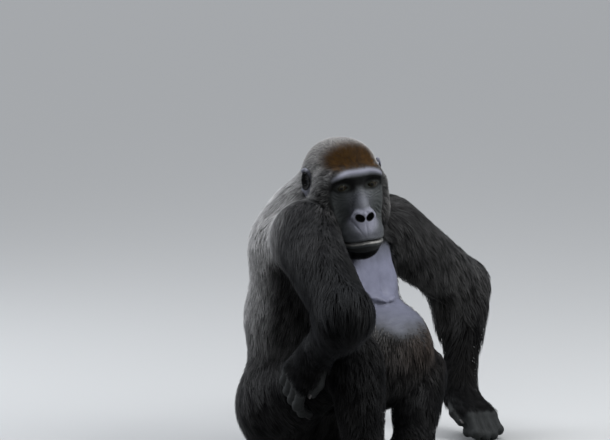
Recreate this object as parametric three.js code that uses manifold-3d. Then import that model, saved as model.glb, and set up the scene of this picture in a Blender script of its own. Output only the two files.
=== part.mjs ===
// A gorilla that sits on the floor, life size, in millimetres: +Z is up, it faces -Y and its left is +X.
// Each solid reaches out to the tips of the coat. The sizes below are measured from the floor between the
// buttocks. At the end the whole animal is moved so that the middle of its footprint is at the origin.
import * as THREE from "three";
import { mergeVertices } from "three/addons/utils/BufferGeometryUtils.js";
import Module from "manifold-3d";

const wasm = await Module();
wasm.setup();

const GAP = 0.5; // kept between solids that touch
const DIP = 6; // how far the weight-bearing flesh would reach below the floor, before the flats are cut
const SIDES = { right: -1, left: 1 };
const sides = Object.keys(SIDES);
const bothSides = (make) => sides.map((side) => make(SIDES[side]));
const radians = THREE.MathUtils.degToRad;
const at = (left, forward, up) => new THREE.Vector3(left, -forward, up);
const UP = at(0, 0, 1);

// ---------------------------------------------------------------- joints
const shoulder = { right: at(-163, 79, 512), left: at(168, 74, 497) };
const elbow = { right: at(-366, 328, 406), left: at(487, 75, 337) };
const wrist = { right: at(-224, 156, 287), left: at(391, 118, 96) };
const hip = { right: at(-88, -48, 132), left: at(88, -52, 132) };
const knee = { right: at(-146, 197, 262), left: at(88, 207, 202) };
const ankle = { right: at(-215, 269, 74), left: at(-38, 274, 66) };
const neckBase = at(-6, 30, 608);
const headJoint = at(-34, 91, 622); // midway between the ears
const headTurn = new THREE.Euler(radians(6.5), radians(-6.2), radians(-37.8), "ZXY");

// ---------------------------------------------------------------- girths
const arm = { shoulder: 80, elbow: 55, forearm: 57, wrist: 33, fringe: 52 };
const leg = { hip: 90, knee: 57, calf: 58, ankle: 40 };
const armRoot = 0.16; // where the upper arm leaves the trunk, as a share of its length
const legRoot = 0.3; // the same for the thigh
const fingers = [[-33, 44, 29, 21], [-11, 50, 33, 23], [11, 48, 32, 22], [32, 38, 25, 20]]; // across, bones
const toes = [[-30, 30], [-10, 34], [11, 33], [30, 27]]; // across, length
const palmLength = 92;
const eyeRadius = 13;

// ---------------------------------------------------------------- fields
// A field gives the distance from a point to a shape's surface, negative inside.

// A length of limb from a to b whose radius runs from ra to rb.
function bone(a, b, ra, rb = ra) {
  const along = b.clone().sub(a);
  const offset = new THREE.Vector3();
  return (p) => {
    offset.copy(p).sub(a);
    const share = THREE.MathUtils.clamp(offset.dot(along) / along.lengthSq(), 0, 1);
    return offset.addScaledVector(along, -share).length() - (ra + (rb - ra) * share);
  };
}

// An ellipsoid with its half sizes to the left, forward and up.
function lump(centre, left, forward, up) {
  const q = new THREE.Vector3();
  const size = new THREE.Vector3(left, forward, up);
  return (p) => {
    const near = q.copy(p).sub(centre).divide(size).length();
    const slope = q.divide(size).length();
    return slope < 1e-9 ? -Math.min(left, forward, up) : (near * (near - 1)) / slope;
  };
}

// The nearer of two fields, with the crease between them filled over a width k.
function soften(a, b, k) {
  const overlap = Math.max(k - Math.abs(a - b), 0) / k;
  return Math.min(a, b) - (overlap * overlap * k) / 4;
}
const blend = (k, ...fields) => (p) => fields.reduce((d, field) => soften(d, field(p), k), 1e4);
const carve = (k, body, ...hollows) => (p) =>
  hollows.reduce((d, hollow) => -soften(-d, hollow(p), k), body(p));

// ---------------------------------------------------------------- surfaces
// Evenly spaced values from low to high, about a cell apart.
function steps(low, high, cell) {
  const count = Math.ceil((high - low) / cell);
  return Array.from({ length: count + 1 }, (_, i) => low + ((high - low) * i) / count);
}

// A grid that fills the box between two corners, with its cell sizes across, along and up.
const gridIn = (low, high, ...cells) =>
  ["x", "y", "z"].map((axis, n) => steps(low[axis], high[axis], cells[n] ?? cells[0]));

// A closed solid from points and triangles.
function solidOf(positions, triangles) {
  return new wasm.Manifold(new wasm.Mesh({
    numProp: 3,
    vertProperties: new Float32Array(positions),
    triVerts: new Uint32Array(triangles),
  }));
}

// The twelve edges of a grid cell go by their lower corner and axis. Each ring of corners is one face.
const edgeOf = (a, b) => Math.min(a, b) * 3 + Math.log2(a ^ b);
const rings = [0, 1, 2].flatMap((axis) => [0, 1].map((end) => {
  const [base, u, v] = [end << axis, 1 << (axis + 1) % 3, 1 << (axis + 2) % 3];
  return [base, base + u, base + u + v, base + v];
}));

// For each edge of a cell, the sheet of surface that crosses it: edges belong together when they
// bound one run of inside corners on a face, so two sheets in one cell stay apart.
function sheetsOf(inside) {
  const sheet = Array.from({ length: 24 }, (_, edge) => edge);
  for (const ring of rings)
    for (let n = 0; n < 4; n++) {
      if (!inside[ring[n]] || inside[ring[(n + 3) % 4]]) continue;
      let last = n;
      while (inside[ring[(last + 1) % 4]]) last += 1;
      const one = sheet[edgeOf(ring[(n + 3) % 4], ring[n])];
      const other = sheet[edgeOf(ring[last % 4], ring[(last + 1) % 4])];
      sheet.forEach((value, edge) => {
        if (value === one) sheet[edge] = other;
      });
    }
  return sheet;
}

// Moves a point onto a field's surface, down the field's slope.
function settle(p, field) {
  const reach = 0.5;
  const d = field(p);
  const slope = new THREE.Vector3(...["x", "y", "z"].map((axis) => {
    const beside = p.clone();
    beside[axis] += reach;
    return (field(beside) - d) / reach;
  }));
  return p.addScaledVector(slope, -d / Math.max(slope.lengthSq(), 0.2));
}

// The solid inside a field: one point for each sheet of surface in each cell, and one quad round each
// grid edge that the surface crosses. The frame places the finished points.
function surface(field, [xs, ys, zs], frame = new THREE.Matrix4()) {
  const cellAt = (i, j, k) => (k * ys.length + j) * xs.length + i;
  const depth = [];
  const p = new THREE.Vector3();
  for (const z of zs) for (const y of ys) for (const x of xs) depth.push(field(p.set(x, y, z)));
  const sheets = new Map();
  const crossings = new Map();
  const quads = [];

  function pointKey([i, j, k], edge) {
    const cell = cellAt(i, j, k);
    if (!sheets.has(cell)) {
      const corners = Array.from({ length: 8 }, (_, n) => cellAt(i + (n & 1), j + (n >> 1 & 1), k + (n >> 2)));
      sheets.set(cell, sheetsOf(corners.map((corner) => depth[corner] < 0)));
    }
    return cell * 24 + sheets.get(cell)[edge];
  }

  function crossEdge(i, j, k, axis) {
    const next = [i, j, k];
    next[axis] += 1;
    const from = depth[cellAt(i, j, k)];
    const to = depth[cellAt(...next)];
    if (from < 0 === to < 0) return;
    const start = new THREE.Vector3(xs[i], ys[j], zs[k]);
    const end = new THREE.Vector3(xs[next[0]], ys[next[1]], zs[next[2]]);
    const crossing = start.lerp(end, from / (from - to));
    const [across, over] = [(axis + 1) % 3, (axis + 2) % 3];
    const corners = [[0, 0], [1, 0], [1, 1], [0, 1]].map(([u, v]) => {
      const cell = [i, j, k];
      cell[across] -= u;
      cell[over] -= v;
      return pointKey(cell, (u << across | v << over) * 3 + axis);
    });
    for (const key of corners) {
      if (!crossings.has(key)) crossings.set(key, []);
      crossings.get(key).push(crossing);
    }
    quads.push(from < 0 ? corners : corners.reverse());
  }
  for (let k = 0; k < zs.length - 1; k++)
    for (let j = 0; j < ys.length - 1; j++)
      for (let i = 0; i < xs.length - 1; i++)
        for (const axis of [0, 1, 2]) crossEdge(i, j, k, axis);

  const order = new Map([...crossings.keys()].map((key, n) => [key, n]));
  const positions = [...crossings.values()].flatMap((found) => {
    const middle = found.reduce((sum, c) => sum.add(c), new THREE.Vector3()).divideScalar(found.length);
    return settle(middle, field).applyMatrix4(frame).toArray();
  });
  const pointOf = (n) => new THREE.Vector3().fromArray(positions, n * 3);
  const triangles = quads.flatMap((quad) => {
    const [a, b, c, d] = quad.map((key) => order.get(key));
    const shorter = pointOf(a).distanceTo(pointOf(c)) <= pointOf(b).distanceTo(pointOf(d));
    return shorter ? [a, b, c, a, c, d] : [b, c, d, b, d, a];
  });
  return solidOf(positions, triangles);
}

// The bare three.js shape of a solid, with shared corners.
function shapeOf(solid) {
  const mesh = solid.getMesh();
  const shape = new THREE.BufferGeometry();
  shape.setAttribute("position", new THREE.BufferAttribute(mesh.vertProperties.slice(), 3));
  shape.setIndex(new THREE.BufferAttribute(mesh.triVerts.slice(), 1));
  return shape;
}

// A solid that is larger by the gap all round, to cut its neighbour with.
function grown(solid, gap = GAP) {
  const shape = mergeVertices(shapeOf(solid), 1e-4);
  shape.computeVertexNormals();
  const { position, normal } = shape.attributes;
  const moved = Array.from(position.array, (value, n) => value + normal.array[n] * gap);
  return solidOf(moved, shape.index.array);
}

// A solid from a three.js shape.
function solidFrom(shape) {
  const bare = shape.clone().deleteAttribute("normal").deleteAttribute("uv");
  const { attributes, index } = mergeVertices(bare, 1e-3);
  return solidOf(attributes.position.array, index.array);
}

// Everything on the side of a plane that its normal points to.
function beyond(point, normal) {
  const reach = 3000;
  const turn = new THREE.Quaternion().setFromUnitVectors(UP, normal.clone().normalize());
  const box = new THREE.BoxGeometry(reach, reach, reach).translate(0, 0, reach / 2).applyQuaternion(turn);
  return solidFrom(box.translate(point.x, point.y, point.z));
}

// The two parts of a solid, before and after a plane, with the gap between them.
function part(solid, point, normal) {
  const half = normal.clone().setLength(GAP / 2);
  return [
    solid.subtract(beyond(point.clone().sub(half), normal)),
    solid.intersect(beyond(point.clone().add(half), normal)),
  ];
}
const onFloor = (solid) => solid.intersect(beyond(new THREE.Vector3(), UP));
const without = (solid, ...others) =>
  others.reduce((left, other) => left.subtract(grown(other)).subtract(other), solid);
const largest = (solid) => solid.decompose().sort((a, b) => b.volume() - a.volume())[0];

// A frame at a joint, from the way that its part points and the way that its back faces.
function frameAt(joint, along, back) {
  const y = along.clone().normalize();
  const x = y.clone().cross(back).normalize();
  return new THREE.Matrix4().makeBasis(x, y, x.clone().cross(y)).setPosition(joint);
}

// ---------------------------------------------------------------- trunk, neck and head
// The first share of a limb, so that the flesh of the trunk runs out into it.
const root = (from, to, share, ra, rb) =>
  bone(from, from.clone().lerp(to, share), ra, ra + (rb - ra) * share);

const headFrame = new THREE.Matrix4().makeRotationFromEuler(headTurn).setPosition(headJoint);
const inHead = (left, forward, up) => at(left, forward, up).applyMatrix4(headFrame);
const bodyField = blend(
  50,
  lump(at(0, -50, 150), 132, 110, 150),
  ...bothSides((s) => lump(at(s * 66, -50, 100), 84, 98, 100 + DIP)),
  lump(at(0, -16, 310), 160, 152, 165),
  lump(at(6, 104, 248), 156, 174, 140),
  lump(at(0, 8, 440), 164, 140, 148),
  ...bothSides((s) => lump(at(s * 56, 90, 385), 78, 60, 68)),
  bone(at(-125, 66, 518), at(104, 62, 512), 70),
  lump(at(0, -26, 480), 158, 112, 108),
  ...sides.map((side) => root(shoulder[side], elbow[side], 0.25, arm.shoulder - 5, arm.elbow - 5)),
  ...sides.map((side) => root(hip[side], knee[side], 0.4, leg.hip - 5, leg.knee - 5)),
  bone(inHead(0, -24, -34), at(-6, 30, 530), 82, 88),
  lump(inHead(0, -62, 4), 84, 68, 76),
  lump(at(0, -8, 560), 92, 78, 62),
);

const brow = { across: 62, forward: 87, up: 34 };
const headField = carve(
  9,
  blend(
    20,
    lump(at(0, -8, 30), 76, 95, 63),
    lump(at(0, -56, 12), 66, 48, 58),
    lump(at(0, 60, 38), 58, 44, 25),
    bone(at(-42, brow.forward + 8, brow.up + 2), at(42, brow.forward + 8, brow.up + 2), 13),
    ...bothSides((s) => bone(at(s * 42, brow.forward + 8, brow.up + 2), at(s * brow.across, 68, 8), 13)),
    ...bothSides((s) => lump(at(s * 49, 42, -6), 34, 43, 44)),
    ...bothSides((s) => lump(at(s * 50, 40, -52), 37, 53, 62)),
    lump(at(0, 70, -18), 46, 46, 60),
    lump(at(0, 103, -80), 47, 45, 40),
    lump(at(0, 98, -116), 40, 39, 33),
    lump(at(0, 126, -48), 25, 16, 21),
    ...bothSides((s) => lump(at(s * 14, 122, -50), 13, 15, 13)),
  ),
  ...bothSides((s) => lump(at(s * 35, 115, 14), 20, 19, 15)),
);

const earFrame = (s) => headFrame.clone()
  .multiply(new THREE.Matrix4().makeTranslation(at(s * 84, -8, 6)))
  .multiply(new THREE.Matrix4().makeRotationFromEuler(
    new THREE.Euler(radians(-8), radians(-8 * s), radians(-26 * s), "ZXY")));
const earField = (s) => carve(
  4,
  blend(5, lump(at(0, 0, 4), 7, 17, 27), lump(at(0, 2, -21), 6, 10, 12)),
  lump(at(s * 7, 2, 4), 6, 11, 18),
);

// ---------------------------------------------------------------- limbs
function armField(side) {
  const [from, mid, to] = [shoulder[side], elbow[side], wrist[side]];
  const under = (share, drop) => from.clone().lerp(mid, share).sub(at(0, 0, drop));
  const inBend = mid.clone().lerp(to, 0.35).add(at(-18, -22, 0));
  const longHair = side === "left" ? [bone(under(0.72, 62), inBend, 46, 44)] : [];
  return blend(
    30,
    bone(from, mid, arm.shoulder, arm.elbow),
    bone(under(0.28, 34), under(0.9, 16), arm.fringe, arm.fringe - 6),
    bone(mid, to, arm.elbow, arm.wrist),
    bone(mid.clone().lerp(to, 0.2), mid.clone().lerp(to, 0.45), arm.forearm, arm.forearm - 8),
    ...longHair,
  );
}

function legField(side) {
  const [from, mid, to] = [hip[side], knee[side], ankle[side]];
  return blend(
    30,
    bone(from, mid, leg.hip, leg.knee),
    bone(mid, to, leg.knee, leg.ankle),
    bone(mid.clone().lerp(to, 0.2), mid.clone().lerp(to, 0.5), leg.calf, leg.calf - 6),
  );
}

// A piece of a limb between two planes, with its faces lined up along it. Each plane is a point and
// the way out of the piece.
function lengthOf(field, from, to, girth, planes) {
  const slack = 16;
  const along = to.clone().sub(from);
  const frame = frameAt(from, along, Math.abs(along.x) > Math.abs(along.y) ? at(0, 1, 0) : at(1, 0, 0));
  const inWorld = new THREE.Vector3();
  const closed = (p) => {
    inWorld.copy(p).applyMatrix4(frame);
    const overrun = planes.map(([point, out]) => inWorld.clone().sub(point).dot(out) - slack);
    return Math.max(field(inWorld), ...overrun);
  };
  const reach = girth * 1.5;
  const grid = gridIn(at(-reach, reach, -reach), at(reach, -along.length() - reach, reach), LIMB, LIMB * 2, LIMB);
  return planes.reduce(
    (solid, [point, out]) => solid.subtract(beyond(point.clone().addScaledVector(out, -GAP / 2), out)),
    surface(closed, grid, frame),
  );
}

// A hand that points along its Y axis, with its back to Z. The fingers bend by three angles, each
// measured from the palm.
function handField(s, bends) {
  const chains = fingers.map(([across, ...bones], n) => {
    let from = at(across * s * -1, -palmLength, 2);
    return bones.map((length, k) => {
      const bend = radians(bends[k]);
      const to = from.clone().add(at(across * s * -0.04, -Math.cos(bend) * length, -Math.sin(bend) * length));
      const piece = bone(from, to, 14 - k * 1.2, 13 - k * 1.4);
      from = to;
      return piece;
    });
  });
  return blend(
    7,
    blend(18, bone(at(0, 4, 0), at(0, -20, 0), 30, 28), lump(at(0, -54, 0), 44, 52, 19),
      bone(at(-24, -78, 0), at(24, -78, 0), 17)),
    ...chains.flat(),
    bone(at(s * 28, -22, -8), at(s * 46, -56, -14), 15, 13),
    bone(at(s * 46, -56, -14), at(s * 46, -86, -18), 12.5, 10),
  );
}

// A foot that points along its Y axis, with its sole down and the joint above it.
function footField(s, height) {
  const sole = -height;
  return blend(
    9,
    blend(
      24,
      bone(at(0, 0, 0), at(0, -8, sole + 40), leg.ankle, 34),
      lump(at(0, 26, sole + 34), 33, 36, 34 + DIP / 2),
      lump(at(0, -40, sole + 30), 38, 74, 30 + DIP / 2),
      lump(at(0, -96, sole + 21), 45, 40, 21 + DIP / 2),
    ),
    ...toes.map(([across, length]) => bone(
      at(across * -s, -118, sole + 13), at(across * -s * 1.08, -122 - length, sole + 12), 14, 12.5)),
    bone(at(s * 24, -44, sole + 22), at(s * 60, -84, sole + 17), 20, 17),
    bone(at(s * 60, -84, sole + 17), at(s * 70, -116, sole + 14), 16, 14),
  );
}

const handFrame = {
  right: frameAt(wrist.right, at(2, -71, -86), at(-0.92, -0.1, 0.35)),
  left: frameAt(wrist.left, at(-28, 80, -49), at(-0.1, 0.5, 0.85)),
};
const bends = { right: [22, 52, 80], left: [20, 149, 225] };
const footFrame = {
  right: frameAt(at(-215, 269, ankle.right.z), at(-95, 190, 0), UP),
  left: frameAt(at(-38, 274, ankle.left.z), at(14, 190, 0), UP),
};

// ---------------------------------------------------------------- cutting the body into its parts
const BODY = 43, LIMB = 31, FACE = 15, COARSE = 30;
const nodes = {};
const wholeHead = surface(headField, [
  steps(-101, 101, FACE),
  [...steps(-164, -34, FACE), ...steps(-14, 126, 20)],
  [...steps(-172, 58, FACE), ...steps(75, 126, 17)],
], headFrame);
const plainHead = surface(headField, gridIn(at(-120, 180, -190), at(120, -150, 140), COARSE), headFrame);
for (const side of sides) {
  const s = SIDES[side];
  nodes["ear_" + side] = surface(
    earField(s), gridIn(at(-16, 28, -44), at(16, -28, 40), 6.5, 9, 10.5), earFrame(s));
  const ball = new THREE.IcosahedronGeometry(eyeRadius, 1).translate(s * 34, -88, 12);
  nodes["eye_" + side] = solidFrom(ball.applyMatrix4(headFrame));
}
nodes.head = without(wholeHead, nodes.ear_right, nodes.ear_left, nodes.eye_right, nodes.eye_left);

const unit = (from, to) => to.clone().sub(from).normalize();
const back = (direction) => direction.clone().negate();
for (const side of sides) {
  const s = SIDES[side];
  const [upper, lower] = [unit(shoulder[side], elbow[side]), unit(elbow[side], wrist[side])];
  const [thigh, shin] = [unit(hip[side], knee[side]), unit(knee[side], ankle[side])];
  const elbowPlane = upper.clone().add(lower).normalize();
  const kneePlane = thigh.clone().add(shin).normalize();
  const armStart = shoulder[side].clone().lerp(elbow[side], armRoot);
  const legStart = hip[side].clone().lerp(knee[side], legRoot);

  nodes["hand_" + side] = onFloor(surface(
    handField(s, bends[side]), gridIn(at(-72, 40, -90), at(72, -212, 50), 14.5, 18, 14.5), handFrame[side]));
  nodes["foot_" + side] = onFloor(surface(
    footField(s, ankle[side].z),
    gridIn(at(-100, 80, -ankle[side].z - 25), at(100, -190, 56), 16, 23, 16), footFrame[side]));
  nodes["upper_arm_" + side] = lengthOf(armField(side), shoulder[side], elbow[side], arm.shoulder,
    [[armStart, back(upper)], [elbow[side], elbowPlane]]);
  nodes["forearm_" + side] = without(
    lengthOf(armField(side), elbow[side], wrist[side], arm.shoulder,
      [[elbow[side], back(elbowPlane)], [wrist[side], lower]]),
    nodes["hand_" + side]);
  nodes["thigh_" + side] = without(
    lengthOf(legField(side), hip[side], knee[side], leg.hip,
      [[legStart, back(thigh)], [knee[side], kneePlane]]),
    nodes["hand_" + side], nodes["forearm_" + side]);
  nodes["shin_" + side] = without(
    lengthOf(legField(side), knee[side], ankle[side], leg.hip,
      [[knee[side], back(kneePlane)], [ankle[side], shin]]),
    nodes["foot_" + side]);
}

const bodyGrid = gridIn(at(-320, 330, -40), at(352, -190, 770), BODY, BODY, BODY * 1.15);
const wholeBody = without(
  surface(bodyField, bodyGrid).subtract(grown(plainHead, COARSE / 5)),
  wholeHead,
  ...sides.flatMap((side) =>
    ["ear_", "upper_arm_", "forearm_", "thigh_", "shin_"].map((name) => nodes[name + side])),
);
[nodes.trunk, nodes.neck] = part(onFloor(wholeBody), neckBase, at(0, 0.12, 1));

// ---------------------------------------------------------------- scene
const coat = { color: 0x24242a, roughness: 0.85 };
const skin = { color: 0x1b1b20, roughness: 0.5 };
const wet = { color: 0x20130a, roughness: 0.08 };
const looks = { ear: skin, hand: skin, foot: skin, eye: wet };
const origins = {
  trunk: at(0, 0, 0), neck: neckBase, head: headJoint,
  ...Object.fromEntries(sides.flatMap((side) => [
    ["ear_" + side, headJoint], ["eye_" + side, headJoint],
    ["upper_arm_" + side, shoulder[side]], ["forearm_" + side, elbow[side]], ["hand_" + side, wrist[side]],
    ["thigh_" + side, hip[side]], ["shin_" + side, knee[side]], ["foot_" + side, ankle[side]],
  ])),
};

const gorilla = new THREE.Group();
gorilla.name = "gorilla";
for (const [name, origin] of Object.entries(origins)) {
  const shape = shapeOf(largest(nodes[name])).translate(-origin.x, -origin.y, -origin.z);
  const look = looks[name.split("_")[0]] ?? coat;
  const mesh = new THREE.Mesh(shape, new THREE.MeshStandardMaterial({ ...look, metalness: 0 }));
  mesh.name = name;
  mesh.position.copy(origin);
  gorilla.add(mesh);
}

const middle = new THREE.Box3().setFromObject(gorilla).getCenter(at(0, 0, 0)).setZ(0);
for (const mesh of gorilla.children) mesh.position.sub(middle);

export default gorilla;
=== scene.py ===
import math

import bpy
import numpy as np
from mathutils import Matrix, Vector
from mathutils.kdtree import KDTree


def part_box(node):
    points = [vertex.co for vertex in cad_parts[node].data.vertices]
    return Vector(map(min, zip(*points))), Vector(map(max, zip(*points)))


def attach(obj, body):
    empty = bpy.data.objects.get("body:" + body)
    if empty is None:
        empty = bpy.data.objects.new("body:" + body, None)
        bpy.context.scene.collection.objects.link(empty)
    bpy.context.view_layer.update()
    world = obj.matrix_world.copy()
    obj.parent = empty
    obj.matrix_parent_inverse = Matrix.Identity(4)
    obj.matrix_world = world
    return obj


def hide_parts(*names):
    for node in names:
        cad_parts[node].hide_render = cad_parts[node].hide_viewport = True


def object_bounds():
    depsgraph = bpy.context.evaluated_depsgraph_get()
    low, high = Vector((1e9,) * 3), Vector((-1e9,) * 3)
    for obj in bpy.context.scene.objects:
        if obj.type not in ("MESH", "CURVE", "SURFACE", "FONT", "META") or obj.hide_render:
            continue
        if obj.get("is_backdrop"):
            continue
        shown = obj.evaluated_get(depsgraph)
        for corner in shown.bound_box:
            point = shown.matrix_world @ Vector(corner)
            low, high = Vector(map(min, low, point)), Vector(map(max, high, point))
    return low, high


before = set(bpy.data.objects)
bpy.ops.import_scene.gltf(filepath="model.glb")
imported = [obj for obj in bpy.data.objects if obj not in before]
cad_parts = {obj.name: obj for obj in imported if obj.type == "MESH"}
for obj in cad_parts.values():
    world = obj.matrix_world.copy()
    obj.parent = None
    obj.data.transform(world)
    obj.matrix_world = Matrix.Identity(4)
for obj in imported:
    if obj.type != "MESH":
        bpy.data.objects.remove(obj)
solid_low, solid_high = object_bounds()
print("the solids run from", [round(v, 3) for v in solid_low], "to", [round(v, 3) for v in solid_high])

# %% [markdown]
# ## Skeleton
# A sculptor starts with an armature, and so does this script: the joints are named places in millimetres to
# the animal's left, forward and up from the floor between its buttocks. The CAD solids were made on the same
# joints and then centred, so one known place, the middle of an eye, tells how far the whole animal was moved.
# %% Joints
MM = 0.001
SIDES = {"right": -1, "left": 1}


def way(left, forward, up):
    """A step in millimetres to the left, forward and up, as metres in the frame."""
    return np.array([left, -forward, up]) * MM


def turn(x, y, z):
    """Turns about Y, then X, then Z, in degrees."""
    about = {axis: Matrix.Rotation(math.radians(a), 3, axis) for axis, a in zip("XYZ", (x, y, z))}
    return np.array(about["Z"] @ about["X"] @ about["Y"])


HEAD_AXES = turn(6.5, -6.2, -37.8)
HEAD_STEP = way(-34, 91, 622)
EYE_PLACE = {side: way(s * 34, 88, 12) for side, s in SIDES.items()}
eye_low, eye_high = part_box("eye_left")
HOME = np.array((eye_low + eye_high) / 2) - HEAD_STEP - HEAD_AXES @ EYE_PLACE["left"]
HEAD = HOME + HEAD_STEP


def place(left, forward, up):
    """A place on the animal, in millimetres from the floor between its buttocks, as a point of the frame."""
    return HOME + way(left, forward, up)


SHOULDER = {"right": place(-163, 79, 512), "left": place(168, 74, 497)}
ELBOW = {"right": place(-366, 328, 406), "left": place(487, 75, 337)}
WRIST = {"right": place(-224, 156, 287), "left": place(391, 118, 96)}
HIP = {"right": place(-88, -48, 132), "left": place(88, -52, 132)}
KNEE = {"right": place(-146, 197, 262), "left": place(88, 207, 202)}
ANKLE = {"right": place(-215, 269, 74), "left": place(-38, 274, 66)}
ARM = {"shoulder": 80, "elbow": 55, "forearm": 57, "wrist": 33, "fringe": 52}
LEG = {"hip": 90, "knee": 57, "calf": 58, "ankle": 40}
print("the animal was moved by", np.round(HOME, 4), "to be centred")

# %% [markdown]
# ## Distance fields
# A field tells how far a point is from a surface, and is negative inside it. Lengths of limb and ellipsoid
# lumps are the clay. Two fields join with a soft crease, and one field can hollow out another. All points are
# worked out together as rows of one array, which makes millions of them quick.
# %% Clay


def length(rows):
    """The length of each row."""
    return np.sqrt(np.einsum("ij,ij->i", rows, rows) + 1e-14)


def unit(rows):
    """Each row at length one."""
    return rows / length(rows)[:, None]


def bone(a, b, ra, rb=None):
    """A length of limb from a to b whose radius runs from ra to rb millimetres."""
    rb = ra if rb is None else rb
    along = b - a

    def depth(points):
        off = points - a
        share = np.clip(off @ along / (along @ along), 0, 1)
        return length(off - share[:, None] * along) - (ra + (rb - ra) * share) * MM

    return depth


def lump(centre, left, forward, up):
    """An ellipsoid with its half sizes in millimetres."""
    half = np.array([left, forward, up]) * MM

    def depth(points):
        off = (points - centre) / half
        near = length(off)
        return near * (near - 1) / length(off / half)

    return depth


def soften(a, b, k):
    """The nearer of two distances, with the crease between them filled over k metres."""
    overlap = np.maximum(k - np.abs(a - b), 0) / k
    return np.minimum(a, b) - overlap * overlap * (k / 4)


def blend(k, *fields):
    """Fields joined with creases k millimetres wide."""

    def depth(points):
        found = fields[0](points)
        for field in fields[1:]:
            found = soften(found, field(points), k * MM)
        return found

    return depth


def carve(k, body, *hollows):
    """A field with others taken out of it, their rims rounded over k millimetres."""

    def depth(points):
        found = body(points)
        for hollow in hollows:
            found = -soften(-found, hollow(points), k * MM)
        return found

    return depth


def within(centre, reach, field):
    """Works a field out only within its reach in metres. Farther off, a rough distance is enough."""
    margin = 0.04

    def depth(points):
        gap = length(points - centre) - reach
        found = gap + margin
        near = gap < 0
        if near.any():
            found[near] = field(points[near])
        return found

    return depth


def held(joint, axes, field):
    """A field written in a part's own frame, for points of the whole animal."""
    return lambda points: field((points - joint) @ axes)


def step_between(low, high, values):
    """0 below low, 1 above high and a smooth rise between them."""
    share = np.clip((values - low) / (high - low), 0, 1)
    return share * share * (3 - 2 * share)


def bell(values, middle, width):
    """1 at the middle, and almost 0 past twice the width."""
    return np.exp(-(((values - middle) / width) ** 2))


def both(make):
    """One field for each side."""
    return [make(s) for s in (-1, 1)]


print("clay is ready")

# %% [markdown]
# ## Uneven nature
# Nothing on an animal is quite regular. This smooth noise gives every place in space its own number, the same
# on every run, and is used for wrinkles, for the drift of the hair and for its colours.
# %% Drift


def drift(points, size, seed):
    """Smooth random numbers from -1 to 1 that change over about that many metres."""
    cells = points / size + 100.0
    base = np.floor(cells).astype(np.int64)
    share = cells - base
    share = share * share * (3 - 2 * share)
    total = np.zeros(len(points))
    for corner in range(8):
        step = np.array([corner & 1, corner >> 1 & 1, corner >> 2])
        key = (base + step) @ np.array([73856093, 19349663, 83492791]) + seed * 7919
        key = (key ^ (key >> 13)) * 1274126177 & 0xFFFFFFFF
        value = ((key ^ (key >> 16)) & 0xFFFF) / 32767.5 - 1
        total += np.prod(np.where(step == 1, share, 1 - share), axis=1) * value
    return total


print("drift at the head joint:", round(float(drift(HEAD[None], 0.05, 1)[0]), 3))

# %% [markdown]
# ## The depth of the coat
# The solids reach to the tips of the hair, so the skin lies inside them by the coat's depth: a few
# millimetres on the face, hands, feet and bare chest, and up to two centimetres on the arms. The same masks
# later say where hair grows, so skin and coat always agree.
# %% Bare places
COAT = {"trunk": 14, "head": 7, "arm": 20, "leg": 14, "bare": 3}


def in_head(points):
    """Millimetres to the head's own left, forward and up."""
    local = (points - HEAD) @ HEAD_AXES / MM
    return local[:, 0], -local[:, 1], local[:, 2]


def in_body(points):
    """Millimetres to the left, forward and up from the floor between the buttocks."""
    local = (points - HOME) / MM
    return local[:, 0], -local[:, 1], local[:, 2]


def bare_face(points):
    """1 on the naked face and 0 on the hair of the head."""
    left, forward, up = in_head(points)
    half = np.where(up > -44, 95, 82)
    across = 60 - 8 * bell(up, -62, 30) + 4 * bell(up, 38, 16)
    rim = (np.abs(left / across) ** 4.5 + np.abs((up + 44) / half) ** 4.5) ** (1 / 4.5)
    return (1 - step_between(0.93, 1.05, rim)) * step_between(38, 58, forward)


def bare_chest(points):
    """1 on the naked chest and 0 on the hair round it."""
    left, forward, up = in_body(points)
    half = np.where(up > 405, 112, 148)
    rim = np.sqrt(((left - 4) / 146) ** 2 + ((up - 405) / half) ** 2) + 0.13 * drift(points, 0.035, 9)
    return (1 - step_between(0.55, 1.08, rim)) * step_between(60, 120, forward)


print("face", bare_face(HEAD + (HEAD_AXES @ way(0, 140, -40))[None]), "crown", bare_face(HEAD[None]))

# %% [markdown]
# ## Trunk, neck and limbs
# These are the same named masses as in the solids: buttocks, belly, chest, breasts and shoulders for the
# trunk, two tapered lengths for each limb, and a fringe of long hair below the upper arm.
# %% Body


def root(a, b, share, ra, rb):
    """The first share of a limb, so that the flesh of the trunk runs out into it."""
    return bone(a, a + (b - a) * share, ra, ra + (rb - ra) * share)


def under(a, b, share, drop):
    """A place along a limb, that many millimetres lower."""
    return a + (b - a) * share - way(0, 0, drop)


def trunk_field():
    """Buttocks, belly, chest, breasts, shoulders and neck."""
    nape = HEAD + HEAD_AXES @ way(0, -24, -34)
    return blend(
        50,
        lump(place(0, -50, 150), 132, 110, 150),
        *both(lambda s: lump(place(s * 66, -50, 100), 84, 98, 106)),
        lump(place(0, -16, 310), 160, 152, 165),
        lump(place(6, 104, 248), 156, 174, 140),
        lump(place(0, 8, 440), 164, 140, 148),
        *both(lambda s: lump(place(s * 56, 90, 385), 78, 60, 68)),
        bone(place(-125, 66, 518), place(104, 62, 512), 70),
        lump(place(0, -26, 480), 158, 112, 108),
        *[root(SHOULDER[side], ELBOW[side], 0.25, 75, 50) for side in SIDES],
        *[root(HIP[side], KNEE[side], 0.4, 85, 52) for side in SIDES],
        bone(nape, place(-6, 30, 530), 82, 88),
        lump(HEAD + HEAD_AXES @ way(0, -62, 4), 84, 68, 76),
        lump(place(0, -8, 560), 92, 78, 62),
    )


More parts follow.
